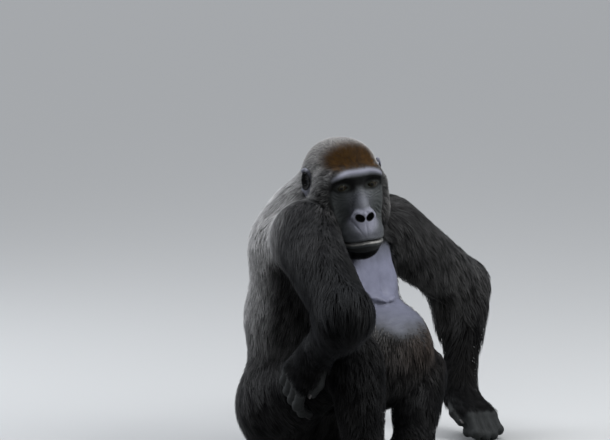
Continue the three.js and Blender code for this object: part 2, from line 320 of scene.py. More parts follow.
def upper_arm_field(side):
    a, b = SHOULDER[side], ELBOW[side]
    fringe = bone(under(a, b, 0.28, 34), under(a, b, 0.9, 16), ARM["fringe"], ARM["fringe"] - 6)
    arm = blend(30, bone(a, b, ARM["shoulder"], ARM["elbow"]), fringe)
    if side == "left":
        in_bend = b + (WRIST[side] - b) * 0.35 + way(-18, -22, 0)
        arm = blend(30, arm, bone(under(a, b, 0.72, 62), in_bend, 46, 44))
    return arm


def forearm_field(side):
    a, b = ELBOW[side], WRIST[side]
    belly = bone(a + (b - a) * 0.2, a + (b - a) * 0.45, ARM["forearm"], ARM["forearm"] - 8)
    return blend(30, bone(a, b, ARM["elbow"], ARM["wrist"]), belly)


def thigh_field(side):
    return bone(HIP[side], KNEE[side], LEG["hip"], LEG["knee"])


def shin_field(side):
    a, b = KNEE[side], ANKLE[side]
    calf = bone(a + (b - a) * 0.2, a + (b - a) * 0.5, LEG["calf"], LEG["calf"] - 6)
    return blend(30, bone(a, b, LEG["knee"], LEG["ankle"]), calf)


print("the trunk at its middle:", round(float(trunk_field()(place(0, 0, 300)[None])[0]), 3))

# %% [markdown]
# ## Hands and feet
# A gorilla walks and props itself on its knuckles. Each hand is a palm with four fingers of three bones and a
# short thumb, and the fingers bend by three angles. The foot is a long flat sole, four short toes and a big
# toe that stands off like a thumb. The knuckles are slightly thicker than the bones between them.
# %% Hands and feet
FINGERS = [(-33, 44, 29, 21), (-11, 50, 33, 23), (11, 48, 32, 22), (32, 38, 25, 20)]
TOES = [(-30, 30), (-10, 34), (11, 33), (30, 27)]
BENDS = {"right": (22, 52, 80), "left": (20, 149, 225)}


def frame_at(along, back):
    """Axes for a hand or foot, from the way that it points and the way that its back faces."""
    y = along / np.linalg.norm(along)
    x = np.cross(y, back)
    x = x / np.linalg.norm(x)
    return np.stack([x, y, np.cross(x, y)], axis=1)


HAND_AXES = {
    "right": frame_at(way(2, -71, -86), way(-0.92, -0.1, 0.35)),
    "left": frame_at(way(-28, 80, -49), way(-0.1, 0.5, 0.85)),
}
FOOT_AXES = {
    "right": frame_at(way(-95, 190, 0), way(0, 0, 1)),
    "left": frame_at(way(14, 190, 0), way(0, 0, 1)),
}
FOOT_HEIGHT = {"right": 74, "left": 66}


def finger_bones(side):
    """The ends of every finger bone, in the hand's own frame: one list for each finger."""
    s = SIDES[side]
    chains = []
    for across, *bones in FINGERS:
        ends = [way(-across * s, -92, 2)]
        for bend, size in zip(BENDS[side], bones):
            angle = math.radians(bend)
            ends.append(ends[-1] + way(-0.04 * across * s, -math.cos(angle) * size, -math.sin(angle) * size))
        chains.append(ends)
    return chains


def hand_field(side):
    s = SIDES[side]
    pieces = []
    for ends in finger_bones(side):
        for n in range(3):
            pieces.append(bone(ends[n], ends[n + 1], 13.2 - n * 1.2, 12.2 - n * 1.3))
            pieces.append(bone(ends[n], ends[n] + way(0, 0, 0.5), 14.2 - n * 1.3))
    palm = blend(
        18,
        bone(way(0, 4, 0), way(0, -20, 0), 30, 28),
        lump(way(0, -54, 0), 44, 52, 19),
        bone(way(-24, -78, 0), way(24, -78, 0), 17),
    )
    thumb = [
        bone(way(s * 28, -22, -8), way(s * 46, -56, -14), 15, 13),
        bone(way(s * 46, -56, -14), way(s * 46, -86, -18), 12.5, 10),
    ]
    return blend(5, palm, *pieces, *thumb)


def toe_bones(side):
    """The two ends of each toe's last length, in the foot's own frame, the big toe last."""
    s, sole = SIDES[side], -FOOT_HEIGHT[side]
    ends = [
        (way(-across * s, -118, sole + 15), way(-across * s * 1.08, -122 - size, sole + 12.5))
        for across, size in TOES
    ]
    return ends + [(way(s * 60, -84, sole + 17), way(s * 70, -116, sole + 14))]


def foot_field(side):
    s, sole = SIDES[side], -FOOT_HEIGHT[side]
    *toes, big = toe_bones(side)
    instep = blend(
        24,
        bone(way(0, 0, 0), way(0, -8, sole + 40), LEG["ankle"], 34),
        lump(way(0, 26, sole + 34), 33, 36, 37),
        lump(way(0, -40, sole + 30), 38, 74, 33),
        lump(way(0, -96, sole + 21), 45, 40, 24),
    )
    knuckles = [bone(a + (b - a) * 0.45, a + (b - a) * 0.5, 13.8) for a, b in toes]
    return blend(
        6,
        instep,
        *[bone(a, b, 13.6, 12.2) for a, b in toes],
        *knuckles,
        bone(way(s * 24, -44, sole + 22), big[0], 20, 17),
        bone(*big, 16, 14),
    )


print("finger tips of the left hand:", [np.round(ends[-1], 3).tolist() for ends in finger_bones("left")][:2])

# %% [markdown]
# ## Head
# The head gets the most care. A gorilla's skull is long and low, with a heavy bar of brow over deep sockets,
# a flat nose with two padded wings, and a short broad muzzle. The skull is laid down first, and the folds,
# lids, nostrils and lips are then added and hollowed, as a sculptor would with small tools.
# %% Skull and face
EYE_RADIUS = 12.6


def skull_field():
    """The masses of the head, out to the tips of its hair."""
    brow_forward, brow_up = 95, 36
    skull = blend(
        20,
        lump(way(0, -8, 30), 76, 95, 63),
        lump(way(0, -56, 12), 66, 48, 58),
        lump(way(0, 60, 38), 58, 44, 25),
        bone(way(-42, brow_forward, brow_up), way(42, brow_forward, brow_up), 13),
        *both(lambda s: bone(way(s * 42, brow_forward, brow_up), way(s * 62, 68, 8), 13)),
        *both(lambda s: lump(way(s * 49, 42, -6), 34, 43, 44)),
        *both(lambda s: lump(way(s * 50, 40, -52), 37, 53, 62)),
        lump(way(0, 70, -18), 46, 46, 60),
        *both(lambda s: lump(way(s * 9, 102, -85), 41, 43.5, 33)),
        *both(lambda s: lump(way(s * 6, 97, -115), 37, 38, 33)),
        lump(way(0, 126, -48), 24, 15, 20),
    )
    return carve(9, skull, *both(lambda s: lump(way(s * 35, 115, 14), 20, 19, 15)))


def nose_wing(s):
    """The padded rim round one nostril: a lobe above it, one beside it and one that runs down to the lip."""
    return blend(
        6,
        lump(way(s * 12, 128, -38), 11.5, 11, 8),
        lump(way(s * 20, 124, -50), 9.5, 11, 13),
        lump(way(s * 12, 126, -64), 11, 9, 8),
    )


def nostril(s):
    """The hollow of one nostril, which looks forwards and a little outwards."""
    return held(way(s * 11.3, 136, -49), turn(-20, -s * 28, s * 10), lump(way(0, 0, 0), 6.9, 14, 3.8))


# Each fold of skin round an eye: places given as left, forward and up, and how thick it is at each.
UPPER_LID = [(20, 100, 15), (27, 103.5, 20), (37, 103.5, 21.5), (48, 97, 17)], [2.6, 3.2, 3.4, 2.6]
LOWER_LID = [(21, 99, 9), (28, 102, 4.4), (38, 102, 4), (46, 97, 8)], [1.8, 2.3, 2.3, 1.8]
EYE_BAG = [(20, 100, 3), (31, 103, -5), (42, 99, -4), (52, 90, 3)], [2, 3.2, 3.2, 2.2]


def lid(s, places, radii):
    """A fold of skin that follows the eye on one side."""
    ends = [way(s * left, forward, up) for left, forward, up in places]
    return blend(2, *[bone(a, b, ra, rb) for a, b, ra, rb in zip(ends, ends[1:], radii, radii[1:])])


def eye_opening(s):
    """The almond between the lids: what lies under one arc and over the other."""
    top = lump(way(s * 34, 102, 1.8), 14.5, 17, 12.4)
    bottom = lump(way(s * 34, 102, 19.2), 14.5, 17, 12.2)
    return lambda points: np.maximum(top(points), bottom(points))


def mouth_line(left):
    """The height of the line between the lips: nearly straight, drooping at its corners."""
    return -100.5 + 1.2 * np.cos(left / 12) - 0.0014 * left * left


def face_folds(points):
    """How far the surface stands out, in metres, for lips, wrinkles and furrows."""
    left, forward, up = points[:, 0] / MM, -points[:, 1] / MM, points[:, 2] / MM
    side = np.abs(left)
    front = step_between(60, 85, forward)
    from_mouth = up - mouth_line(left)
    lips = step_between(52, 40, side) * step_between(92, 110, forward)
    out = 2.0 * bell(from_mouth, 6, 4.5) * lips + 2.8 * bell(from_mouth, -6.5, 4.5) * lips
    out -= 4.2 * bell(from_mouth, 0, 2.2) * step_between(54, 44, side) * step_between(88, 104, forward)
    creases = np.sin(left / 3.4 + 0.7 * np.sin(up / 5)) * bell(from_mouth, 13, 8) * lips
    out += 0.28 * creases + 0.2 * np.sin(left / 2.6) * bell(from_mouth, -8, 5) * lips
    wobble = drift(points, 0.016, 3) * 5
    round_eye = np.sqrt((side - 32) ** 2 + ((up - 14) * 1.15) ** 2)
    below = step_between(4, -6, up + 0.25 * (side - 34)) * bell(round_eye, 30, 11) * step_between(6, 14, side)
    out += 0.62 * np.sin((round_eye + wobble) * 2 * math.pi / 6.4) * below * front
    bridge = bell(left, 0, 13) * bell(up, 4, 13) * step_between(84, 92, forward)
    out += 0.5 * np.sin((up + 0.35 * side + wobble) * 2 * math.pi / 5.5) * bridge
    fan = bell(side, 17, 8) * bell(up, -14, 16) * step_between(84, 94, forward)
    out += 0.5 * np.sin((side - 0.55 * up + wobble) * 2 * math.pi / 5.2) * fan
    slant = (up * 0.75 + side * 0.66 + wobble * 1.4) * 2 * math.pi / 8.5
    cheek = bell(side, 43, 14) * bell(up, -48, 30) * front
    out += 0.55 * np.sin(slant) * cheek
    furrow = side - (28 + (-44 - up) * 0.42)
    out -= 2.0 * bell(furrow, 6, 3.2) * bell(up, -62, 22) * step_between(90, 104, forward)
    border = side - 26 + 0.6 * np.maximum(-50 - up, 0)
    out -= 1.1 * bell(border, 4, 2.6) * bell(up, -68, 15) * step_between(100, 116, forward)
    out -= 0.9 * bell(left, 0, 2.2) * bell(up, -74, 11) * step_between(120, 130, forward)
    out += 0.35 * np.sin((up - 22 + wobble) * 2 * math.pi / 7) * bell(up, 26, 9) * bell(side, 0, 14)
    return out * MM


def head_field():
    """The skull with its face, in the head's own frame, out to the tips of its hair."""
    skull = skull_field()
    shaped = blend(
        5,
        skull,
        bone(way(0, 94, 8), way(0, 117, -34), 17, 20),
        *both(nose_wing),
        bone(way(0, 136, -42), way(0, 132, -62), 5, 4),
        *both(lambda s: lump(way(s * 34, 88, 12), 17, 15.6, 14.5)),
    )
    folded = blend(
        2.5,
        shaped,
        *both(lambda s: lid(s, *UPPER_LID)),
        *both(lambda s: lid(s, *LOWER_LID)),
        *both(lambda s: lid(s, *EYE_BAG)),
    )
    opened = carve(2.6, folded, *both(nostril))
    seeing = carve(0.9, opened, *both(eye_opening))
    return lambda points: seeing(points) - face_folds(points)


def ear_bowl(s):
    """The hollow of an ear."""
    return lump(way(s * 6, 2, 3), 7, 10, 16)


def ear_field(s):
    """An ear: a thin shell with a rolled rim and a deep bowl."""
    rim_step = math.pi / 7
    rim = []
    for n in range(9):
        angle = math.radians(-62) + n * rim_step
        rim.append(way(s * (3 - 0.6 * n / 8), -math.cos(angle) * 15, 3 + math.sin(angle) * 24.5))
    roll = blend(2, *[bone(a, b, 3.1) for a, b in zip(rim, rim[1:])])
    shell = blend(4, lump(way(0, 0, 4), 5, 15, 24.5), lump(way(0, 2, -16), 5.6, 10.5, 15), roll)
    return carve(2, shell, ear_bowl(s))


nose_tip = way(0, 140, -40)[None]
print("the tip of the nose:", round(float(head_field()(nose_tip)[0]) / MM, 2), "mm from the field")

# %% [markdown]
# ## One skin
# Every mass is shrunk by its coat's depth and joined into one field, so no seam shows anywhere. The creases
# between a limb and the body are kept narrow. The floor cuts the field flat where the weight rests.
# %% One field
FLOOR = 0.0006
HAND_SKIN = 0.0015
LIMB_TO_TRUNK = 0.008


def chest_folds(points):
    """How far the naked chest sinks, in millimetres, under the fold of the breasts and in its wrinkles."""
    left, _, up = in_body(points)
    under = 362 + 0.0045 * (left - 5) ** 2 - up
    across = step_between(105, 70, np.abs(left - 5))
    sunk = 9 * step_between(-3, 7, under) * step_between(95, 12, under) + 3 * bell(under, 5, 5)
    cleft = 3.5 * bell(left, 5, 9) * step_between(-70, -20, under) * step_between(10, 0, under)
    wobble = 6 * drift(points, 0.03, 21)
    lines = np.sin((up + 0.12 * np.abs(left - 5) + wobble) * 2 * math.pi / 11) * step_between(2, 22, under)
    return (sunk + cleft + 1.1 * lines * step_between(100, 60, under)) * across


def chest_depth(points):
    """The coat's depth on the trunk, thinning out over the naked chest."""
    naked = bare_chest(points)
    return (COAT["trunk"] * (1 - naked) + (COAT["bare"] + chest_folds(points)) * naked) * MM


def head_depth(points):
    """The coat's depth on the head, thinning out over the naked face."""
    return (COAT["head"] + (COAT["bare"] - 0.6 - COAT["head"]) * bare_face(points)) * MM


def limb_depth(full, end, reach):
    """The coat's depth on a limb, thinning out towards the bare hand or foot."""

    def depth(points):
        thinner = step_between(reach, 0.02, length(points - end))
        return (full + (COAT["bare"] + 2 - full) * thinner) * MM

    return depth


def on_bare_skin(points):
    """The same small depth all over a hand or foot."""
    return np.full(len(points), HAND_SKIN)


def skinned(field, depth):
    """A field shrunk by the coat's depth."""
    return lambda points: field(points) + depth(points)


EAR_STEP = {side: way(s * 82, -8, 6) for side, s in SIDES.items()}
EAR_TURN = {side: turn(-8, -8 * s, -26 * s) for side, s in SIDES.items()}
PARTS = {"trunk": within(place(0, 0, 330), 0.52, skinned(trunk_field(), chest_depth))}
head_local = held(HEAD, HEAD_AXES, head_field())
PARTS["head"] = within(HEAD + HEAD_AXES @ way(0, 10, -20), 0.24, skinned(head_local, head_depth))
for side, s in SIDES.items():
    arm_depth = limb_depth(COAT["arm"], WRIST[side], 0.13)
    leg_depth = limb_depth(COAT["leg"], ANKLE[side], 0.12)
    shoulder, elbow, wrist = SHOULDER[side], ELBOW[side], WRIST[side]
    hip, knee, ankle = HIP[side], KNEE[side], ANKLE[side]
    ear = HEAD + HEAD_AXES @ EAR_STEP[side]
    ear_axes = HEAD_AXES @ EAR_TURN[side]
    hand = held(wrist, HAND_AXES[side], hand_field(side))
    foot = held(ankle, FOOT_AXES[side], foot_field(side))
    PARTS["ear_" + side] = within(ear, 0.05, held(ear, ear_axes, ear_field(s)))
    PARTS["upper_arm_" + side] = within(
        (shoulder + elbow) / 2, 0.32, skinned(upper_arm_field(side), arm_depth))
    PARTS["forearm_" + side] = within((elbow + wrist) / 2, 0.28, skinned(forearm_field(side), arm_depth))
    PARTS["hand_" + side] = within(
        wrist + HAND_AXES[side] @ way(0, -80, 0), 0.2, skinned(hand, on_bare_skin))
    PARTS["thigh_" + side] = within((hip + knee) / 2, 0.3, skinned(thigh_field(side), leg_depth))
    PARTS["shin_" + side] = within((knee + ankle) / 2, 0.26, skinned(shin_field(side), leg_depth))
    PARTS["foot_" + side] = within(
        ankle + FOOT_AXES[side] @ way(0, -60, -40), 0.2, skinned(foot, on_bare_skin))
CREASE = {"head": 0.016, "upper_arm": 0.03, "forearm": 0.026, "hand": 0.012, "thigh": 0.03, "shin": 0.026,
          "foot": 0.012, "ear": 0.005}


def skin_field(points):
    """The whole animal's skin: each limb is joined in itself first, and then to the trunk."""
    found = soften(PARTS["trunk"](points), PARTS["head"](points), CREASE["head"])
    for side in SIDES:
        arm = soften(PARTS["upper_arm_" + side](points), PARTS["forearm_" + side](points), CREASE["forearm"])
        arm = soften(arm, PARTS["hand_" + side](points), CREASE["hand"])
        leg = soften(PARTS["thigh_" + side](points), PARTS["shin_" + side](points), CREASE["shin"])
        leg = soften(leg, PARTS["foot_" + side](points), CREASE["foot"])
        found = soften(found, arm, LIMB_TO_TRUNK)
        found = soften(found, leg, LIMB_TO_TRUNK)
        found = soften(found, PARTS["ear_" + side](points), CREASE["ear"])
    return np.maximum(found, FLOOR - points[:, 2])


print("parts joined into the skin:", len(PARTS))

# %% [markdown]
# ## From field to mesh
# Surface nets put one point in each small cell that the surface crosses, and one quad round each grid edge it
# crosses. Only cells near the surface are worked out in full. The face needs a finer mesh than the back, so
# chosen triangles are then split in four, with their neighbours fitted to them, and every point is settled
# onto the field again.
# %% Surface nets


def in_lots(field, points, lot=150_000):
    """A field over many points, a lot at a time."""
    return np.concatenate([field(points[n : n + lot]) for n in range(0, len(points), lot)])


def surface_net(field, low, high, cell, block=8):
    """Points and quads of the surface inside a field."""
    counts = (np.ceil((high - low) / (cell * block)).astype(int)) * block + 1
    rough = (counts - 1) // block
    centres = np.stack(np.meshgrid(*[np.arange(n) for n in rough], indexing="ij"), -1).reshape(-1, 3)
    depth = in_lots(field, low + (centres + 0.5) * cell * block)
    kept = np.abs(depth) < cell * block * 1.05
    sign = np.where(depth < 0, -1.0, 1.0).reshape(rough)
    values = np.ones(counts)
    values[:-1, :-1, :-1] = np.kron(sign, np.ones((block,) * 3))
    wanted = np.zeros(counts, bool)
    for i, j, k in centres[kept] * block:
        wanted[i : i + block + 1, j : j + block + 1, k : k + block + 1] = True
    spots = np.argwhere(wanted)
    values[wanted] = in_lots(field, low + spots * cell)
    inside = values < 0
    owners, crossings, quads = [], [], []
    for axis in range(3):
        here = [slice(None)] * 3
        there = [slice(None)] * 3
        here[axis] = slice(0, -1)
        there[axis] = slice(1, None)
        changed = inside[tuple(here)] != inside[tuple(there)]
        edges = np.argwhere(changed)
        edges = edges[(edges[:, (axis + 1) % 3] > 0) & (edges[:, (axis + 2) % 3] > 0)]
        ahead = edges.copy()
        ahead[:, axis] += 1
        a, b = values[tuple(edges.T)], values[tuple(ahead.T)]
        spot = edges.astype(float)
        spot[:, axis] += a / (a - b)
        corners = []
        for u, v in ((0, 0), (1, 0), (1, 1), (0, 1)):
            cells = edges.copy()
            cells[:, (axis + 1) % 3] -= u
            cells[:, (axis + 2) % 3] -= v
            corners.append(np.ravel_multi_index(tuple(cells.T), counts))
        quad = np.stack(corners, 1)
        outward = a < 0
        quads.append(np.where(outward[:, None], quad, quad[:, ::-1]))
        owners += corners
        crossings += [spot] * 4
    owners = np.concatenate(owners)
    used, index = np.unique(owners, return_inverse=True)
    where = np.concatenate(crossings)
    count = np.bincount(index)
    points = np.stack([np.bincount(index, where[:, n]) / count for n in range(3)], 1)
    quads = np.searchsorted(used, np.concatenate(quads))
    return low + points * cell, quads


def slope_of(field, points, reach=0.0006):
    """The direction in which a field rises, and its value."""
    here = in_lots(field, points)
    beside = [in_lots(field, points + reach * np.eye(3)[n]) for n in range(3)]
    return here, np.stack([(value - here) / reach for value in beside], 1)


def settle(field, points, cap):
    """Moves points onto a field's surface, at most so many metres."""
    here, slope = slope_of(field, points)
    step = -here[:, None] * slope / np.maximum(np.einsum("ij,ij->i", slope, slope), 0.25)[:, None]
    size = length(step)
    return points + step * np.minimum(1, cap / size)[:, None]


def halved(points, quads):
    """Triangles from quads, each cut along its shorter diagonal."""
    a, b, c, d = quads.T
    shorter = length(points[a] - points[c]) <= length(points[b] - points[d])
    first = np.where(shorter[:, None], np.stack([a, b, c], 1), np.stack([b, c, d], 1))
    second = np.where(shorter[:, None], np.stack([a, c, d], 1), np.stack([b, d, a], 1))
    return np.concatenate([first, second])


def refine(points, triangles, chosen):
    """Splits the chosen triangles in four, and their neighbours in two or three to match."""
    edges = np.sort(triangles[:, [[0, 1], [1, 2], [2, 0]]].reshape(-1, 2), axis=1)
    keys, index = np.unique(edges[:, 0] * len(points) + edges[:, 1], return_inverse=True)
    index = index.reshape(-1, 3)
    split = np.zeros(len(keys), bool)
    split[index[chosen].ravel()] = True
    middle = np.full(len(keys), -1)
    middle[split] = len(points) + np.arange(split.sum())
    a, b = keys[split] // len(points), keys[split] % len(points)
    points = np.concatenate([points, (points[a] + points[b]) / 2])
    cuts = split[index]
    count = cuts.sum(1)
    shift = np.zeros(len(triangles), int)
    shift[count == 1] = np.argmax(cuts[count == 1], axis=1)
    shift[count == 2] = (np.argmin(cuts[count == 2], axis=1) + 1) % 3
    order = (shift[:, None] + np.arange(3)) % 3
    corner = np.take_along_axis(triangles, order, 1)
    mid = np.take_along_axis(middle[index], order, 1)
    (a, b, c), (ab, bc, ca) = corner.T, mid.T
    patterns = {
        0: [(a, b, c)],
        1: [(a, ab, c), (ab, b, c)],
        2: [(a, ab, c), (ab, bc, c), (ab, b, bc)],
        3: [(a, ab, ca), (ab, b, bc), (ca, bc, c), (ab, bc, ca)],
    }
    made = []
    for number, faces in patterns.items():
        rows = count == number
        made += [np.stack([corner_of[rows] for corner_of in face], 1) for face in faces]
    return points, np.concatenate(made)


def relax(field, points, triangles, chosen, cap):
    """Evens out the corners of the chosen triangles and puts them back on the field's surface."""
    moving = np.unique(triangles[chosen])
    ends = np.concatenate([triangles[:, [0, 1]], triangles[:, [1, 2]], triangles[:, [2, 0]]])
    count = np.bincount(ends[:, 0], minlength=len(points))[:, None]
    for _ in range(3):
        sums = [np.bincount(ends[:, 0], points[ends[:, 1], n], len(points)) for n in range(3)]
        even = np.stack(sums, 1) / count
        points[moving] = settle(field, 0.45 * points[moving] + 0.55 * even[moving], cap)
    return points


print("mesh tools are ready")

# %% [markdown]
# ## The skin mesh
# The body is netted at seven millimetres. Head, hands and feet are then split once, the face and ears twice,
# and the lids, nostrils and lips three times, so that every fold has the triangles that it needs. After each
# split the corners are evened out a little and put back on the field, since long thin triangles would crumple
# in the tight folds.
# %% Skin mesh
CELL = 0.0071
slack = 0.02
net_low = np.array(solid_low) - slack
net_low[2] = FLOOR - 2.4 * CELL
points, quads = surface_net(skin_field, net_low, np.array(solid_high) + slack, CELL)
points = settle(skin_field, points, CELL)
triangles = halved(points, quads)
print("the body has", len(triangles), "triangles at", CELL / MM, "mm")


def near_hands_and_feet(middles):
    """Triangles on the head, hands and feet."""
    reach = [PARTS[name + "_" + side](middles) for name in ("hand", "foot", "ear") for side in SIDES]
    front = in_head(middles)[1] > 40
    return (np.min(reach, axis=0) < 0.004) | ((PARTS["head"](middles) < 0.004) & front)


def near_face(middles):
    """Triangles on the naked face and the ears."""
    ears = [PARTS["ear_" + side](middles) for side in SIDES]
    left, forward, up = in_head(middles)
    face = (np.abs(left) < 64) & (forward > 62) & (up > -145) & (up < 48)
    return face | (np.min(ears, axis=0) < 0.002)


def near_features(middles):
    """Triangles round the eyes, the nostrils and between the lips."""
    left, forward, up = in_head(middles)
    side = np.abs(left)
    eyes = (np.hypot((side - 34) / 20, (up - 11) / 13) < 1) & (forward > 76)
    nose = (np.hypot(side / 34, (up + 50) / 22) < 1) & (forward > 106)
    lips = (side < 52) & (np.abs(up - mouth_line(left)) < 7) & (forward > 84)
    return eyes | nose | lips


for level, wanted in enumerate((near_hands_and_feet, near_face, near_features)):
    chosen = wanted(points[triangles].mean(1))
    before = len(points)
    points, triangles = refine(points, triangles, chosen)
    cap = CELL / 2 ** (level + 1)
    points[before:] = settle(skin_field, settle(skin_field, points[before:], cap), cap)
    points = relax(skin_field, points, triangles, wanted(points[triangles].mean(1)), cap)
    print("after splitting", wanted.__name__, "there are", len(triangles), "triangles")


def piece_from(name, points, faces, smooth=True):
    """A mesh object with these corners and faces, which all have the same number of sides."""
    mesh = bpy.data.meshes.new(name)
    faces = np.asarray(faces)
    sides = faces.shape[1]
    mesh.vertices.add(len(points))
    mesh.vertices.foreach_set("co", np.asarray(points, np.float32).ravel())
    mesh.loops.add(faces.size)
    mesh.loops.foreach_set("vertex_index", faces.astype(np.int32).ravel())
    mesh.polygons.add(len(faces))
    mesh.polygons.foreach_set("loop_start", np.arange(0, faces.size, sides, dtype=np.int32))
    mesh.update(calc_edges=True)
    mesh.polygons.foreach_set("use_smooth", np.full(len(faces), smooth))
    mesh.validate()
    obj = bpy.data.objects.new(name, mesh)
    bpy.context.scene.collection.objects.link(obj)
    return obj


skin = piece_from("skin", points, triangles)
print("the skin is", len(skin.data.polygons), "triangles, lowest at", round(float(points[:, 2].min()), 4))

# %% [markdown]
# ## Markings
# The colours of a gorilla change slowly over the body: a rusty cap on the crown, grey over the head, nape and
# back, brown on the lower belly, and naked skin, black on the face, ears, hands and feet and grey on the
# chest, which painted sheen makes paler. The grey of the coat carries painted light as well: there is more of
# it on the top of the head, high on the back and on the far upper arm, and less on the flank beside the arm,
# which stays dark as painted shade. Each marking is a number from 0 to 1 that is worked out from the place on
# the body. It is stored on skin and coat alike.
# %% Masks


def part_shares(points):
    """How much of each part is at each point, as columns that add up to one."""
    reach = 0.014
    depths = np.stack([PARTS[name](points) for name in PARTS], 1)
    shares = np.exp(-np.clip(depths, 0, 0.2) / reach)
    return shares / shares.sum(1)[:, None]


def bare_hand(points, side):
    """1 on the palm and fingers, 0 on the hairy back of the hand."""
    local = (points - WRIST[side]) @ HAND_AXES[side] / MM
    near = step_between(0.004, 0.0, PARTS["hand_" + side](points))
    palm = step_between(2, -8, local[:, 2]) * step_between(5, 25, local[:, 1])
    return near * np.maximum(palm, step_between(78, 96, local[:, 1]))


def bare_foot(points, side):
    """1 on the sole and toes, 0 on the hairy top of the foot."""
    local = (points - ANKLE[side]) @ FOOT_AXES[side] / MM
    near = step_between(0.004, 0.0, PARTS["foot_" + side](points))
    sole = step_between(24, 14, local[:, 2] + FOOT_HEIGHT[side])
    return near * np.maximum(sole, step_between(104, 122, local[:, 1]))


def bare_skin(points):
    """1 where no hair grows."""
    on_head = step_between(0.006, 0.0, PARTS["head"](points))
    found = bare_face(points) * on_head
    found = np.maximum(found, bare_chest(points) * step_between(0.01, 0.0, PARTS["trunk"](points)))
    for side in SIDES:
        found = np.maximum(found, bare_hand(points, side))
        found = np.maximum(found, bare_foot(points, side))
        found = np.maximum(found, step_between(0.0025, 0.0008, PARTS["ear_" + side](points)))
    return found


def rusty(points):
    """1 on the rusty cap above the brow, fading back over the crown."""
    left, forward, up = in_head(points)
    cap = step_between(74, 38, np.abs(left)) * step_between(42, 50, up) * step_between(-16, 46, forward)
    crown = 0.3 * step_between(20, 60, up)
    return np.maximum(cap, crown) * step_between(0.02, 0.0, PARTS["head"](points))


def brownish(points):
    """Near 1 on the lower belly, and a faint patchy brown elsewhere."""
    left, forward, up = in_body(points)
    belly = bell(left, 25, 95) * bell(up, 285, 50) * step_between(120, 190, forward)
    patches = 0.3 + 0.3 * drift(points, 0.09, 5)
    return np.clip(belly + 0.12 * patches, 0, 1)


def grey_coat_and_painted_light(points):
    """1 where the coat is greyed on the head, the nape and down the back, and hardly on the limbs. Part of it
    is painted light: more grey on the top of the head, high on the back, in a band below the naked chest and
    on the far upper arm, and less on the flank beside the arm, which is left dark as painted shade.
    """
    _, forward, up = in_body(points)
    # The grey over the back is partly grey hair and partly painted light: high up it reaches forward over the
    # shoulders, lower down it keeps off the flank beside the arm, which stays dark as painted shade.
    edge = 15 + 75 * step_between(430, 530, up)
    behind = step_between(edge, edge - 100, forward + 0.25 * np.maximum(300 - up, 0))
    behind *= 0.16 + 0.84 * step_between(200, 430, up)
    _, head_forward, head_up = in_head(points)
    # Painted light: the top and back of the head are greyer than its sides and jaw.
    crown = step_between(40, -10, head_forward - 0.7 * head_up)
    on_head = step_between(-95, -35, head_up) * (0.3 + 0.9 * crown)
    # A grey band below the naked chest, to match the chest's painted sheen.
    below_chest = 0.5 * bell(up, 330, 36) * step_between(150, 190, forward)
    # The far upper arm is greyer than the near one: painted light on its top.
    greys_and_painted_light = {"trunk": 0.05 + 0.9 * behind + below_chest, "head": on_head, "ear_right": 0.5, "ear_left": 0.5,
             "upper_arm_right": 0.04 * behind, "upper_arm_left": 0.1 + 0.6 * behind}
    shares = part_shares(points)
    return np.clip(sum(shares[:, n] * greys_and_painted_light.get(name, 0.0) for n, name in enumerate(PARTS)), 0, 1)


MASKS = {"bare": bare_skin, "rust": rusty, "brown": brownish, "grey_and_painted_light": grey_coat_and_painted_light}


def mark(obj, **values):
    """Stores numbers on the corners of a mesh, for its material to read."""
    for name, numbers in values.items():
        layer = obj.data.attributes.new(name, "FLOAT", "POINT")
        layer.data.foreach_set("value", np.asarray(numbers, np.float32))


masks_on_skin = {name: mask(points) for name, mask in MASKS.items()}
print("naked share of the skin:", round(float(masks_on_skin["bare"].mean()), 2))

# %% [markdown]
# ### Marks of the naked skin
# The bare skin isn't one black either: light and shade are painted into it. Painted highlights lie on the
# arch of the brow, the pad and bridge of the nose, the middle of the upper lip and the ears. Painted shade
# makes the sockets and the strip under the brow, the nostrils, the line of the mouth, the chin and the bowls
# of the ears nearly black, and the black skin of hands and feet is made darker too. The naked chest gets
# painted sheen high up and painted shade below the breasts and under the chin. All are numbers too, and the
# highlights and the shade are each the strongest of several soft spots.
# %% Marks on the skin
left, forward, up = in_head(points)
aside = np.abs(left)
from_mouth = up - mouth_line(left)
points_in_head = way(left, forward, up).T
on_face = bare_face(points) * step_between(0.006, 0.0, PARTS["head"](points))
lip_edge = bell(from_mouth, -3.6, 2.0) * step_between(47, 30, aside) * on_face
lid_edge = on_face * step_between(1.9, 0.7, np.hypot((aside - 34) / 11.5, (up - 11) / 6.2))
# Painted highlights: pale where light would catch the glossy black skin, on the arch of the brow, the nose
# pad and bridge, and the upper lip.
arch = 45 - 0.010 * np.maximum(aside - 24, 0) ** 2
pale = 0.85 * bell(up, arch, 6.2) * step_between(78, 64, aside) * step_between(50, 70, forward)
front = step_between(98, 116, forward)
pad = step_between(1.5, 0.55, np.hypot(left / 30, np.where(up > -46, (up + 46) / 17, (up + 46) / 36)))
pale = np.maximum(pale, 0.85 * pad * front)
pale = np.maximum(pale, 0.32 * bell(left, 0, 22) * bell(up, -16, 22) * step_between(90, 100, forward))
pale = np.maximum(pale, 0.28 * bell(up, -84, 14) * bell(left, 0, 40) * front)
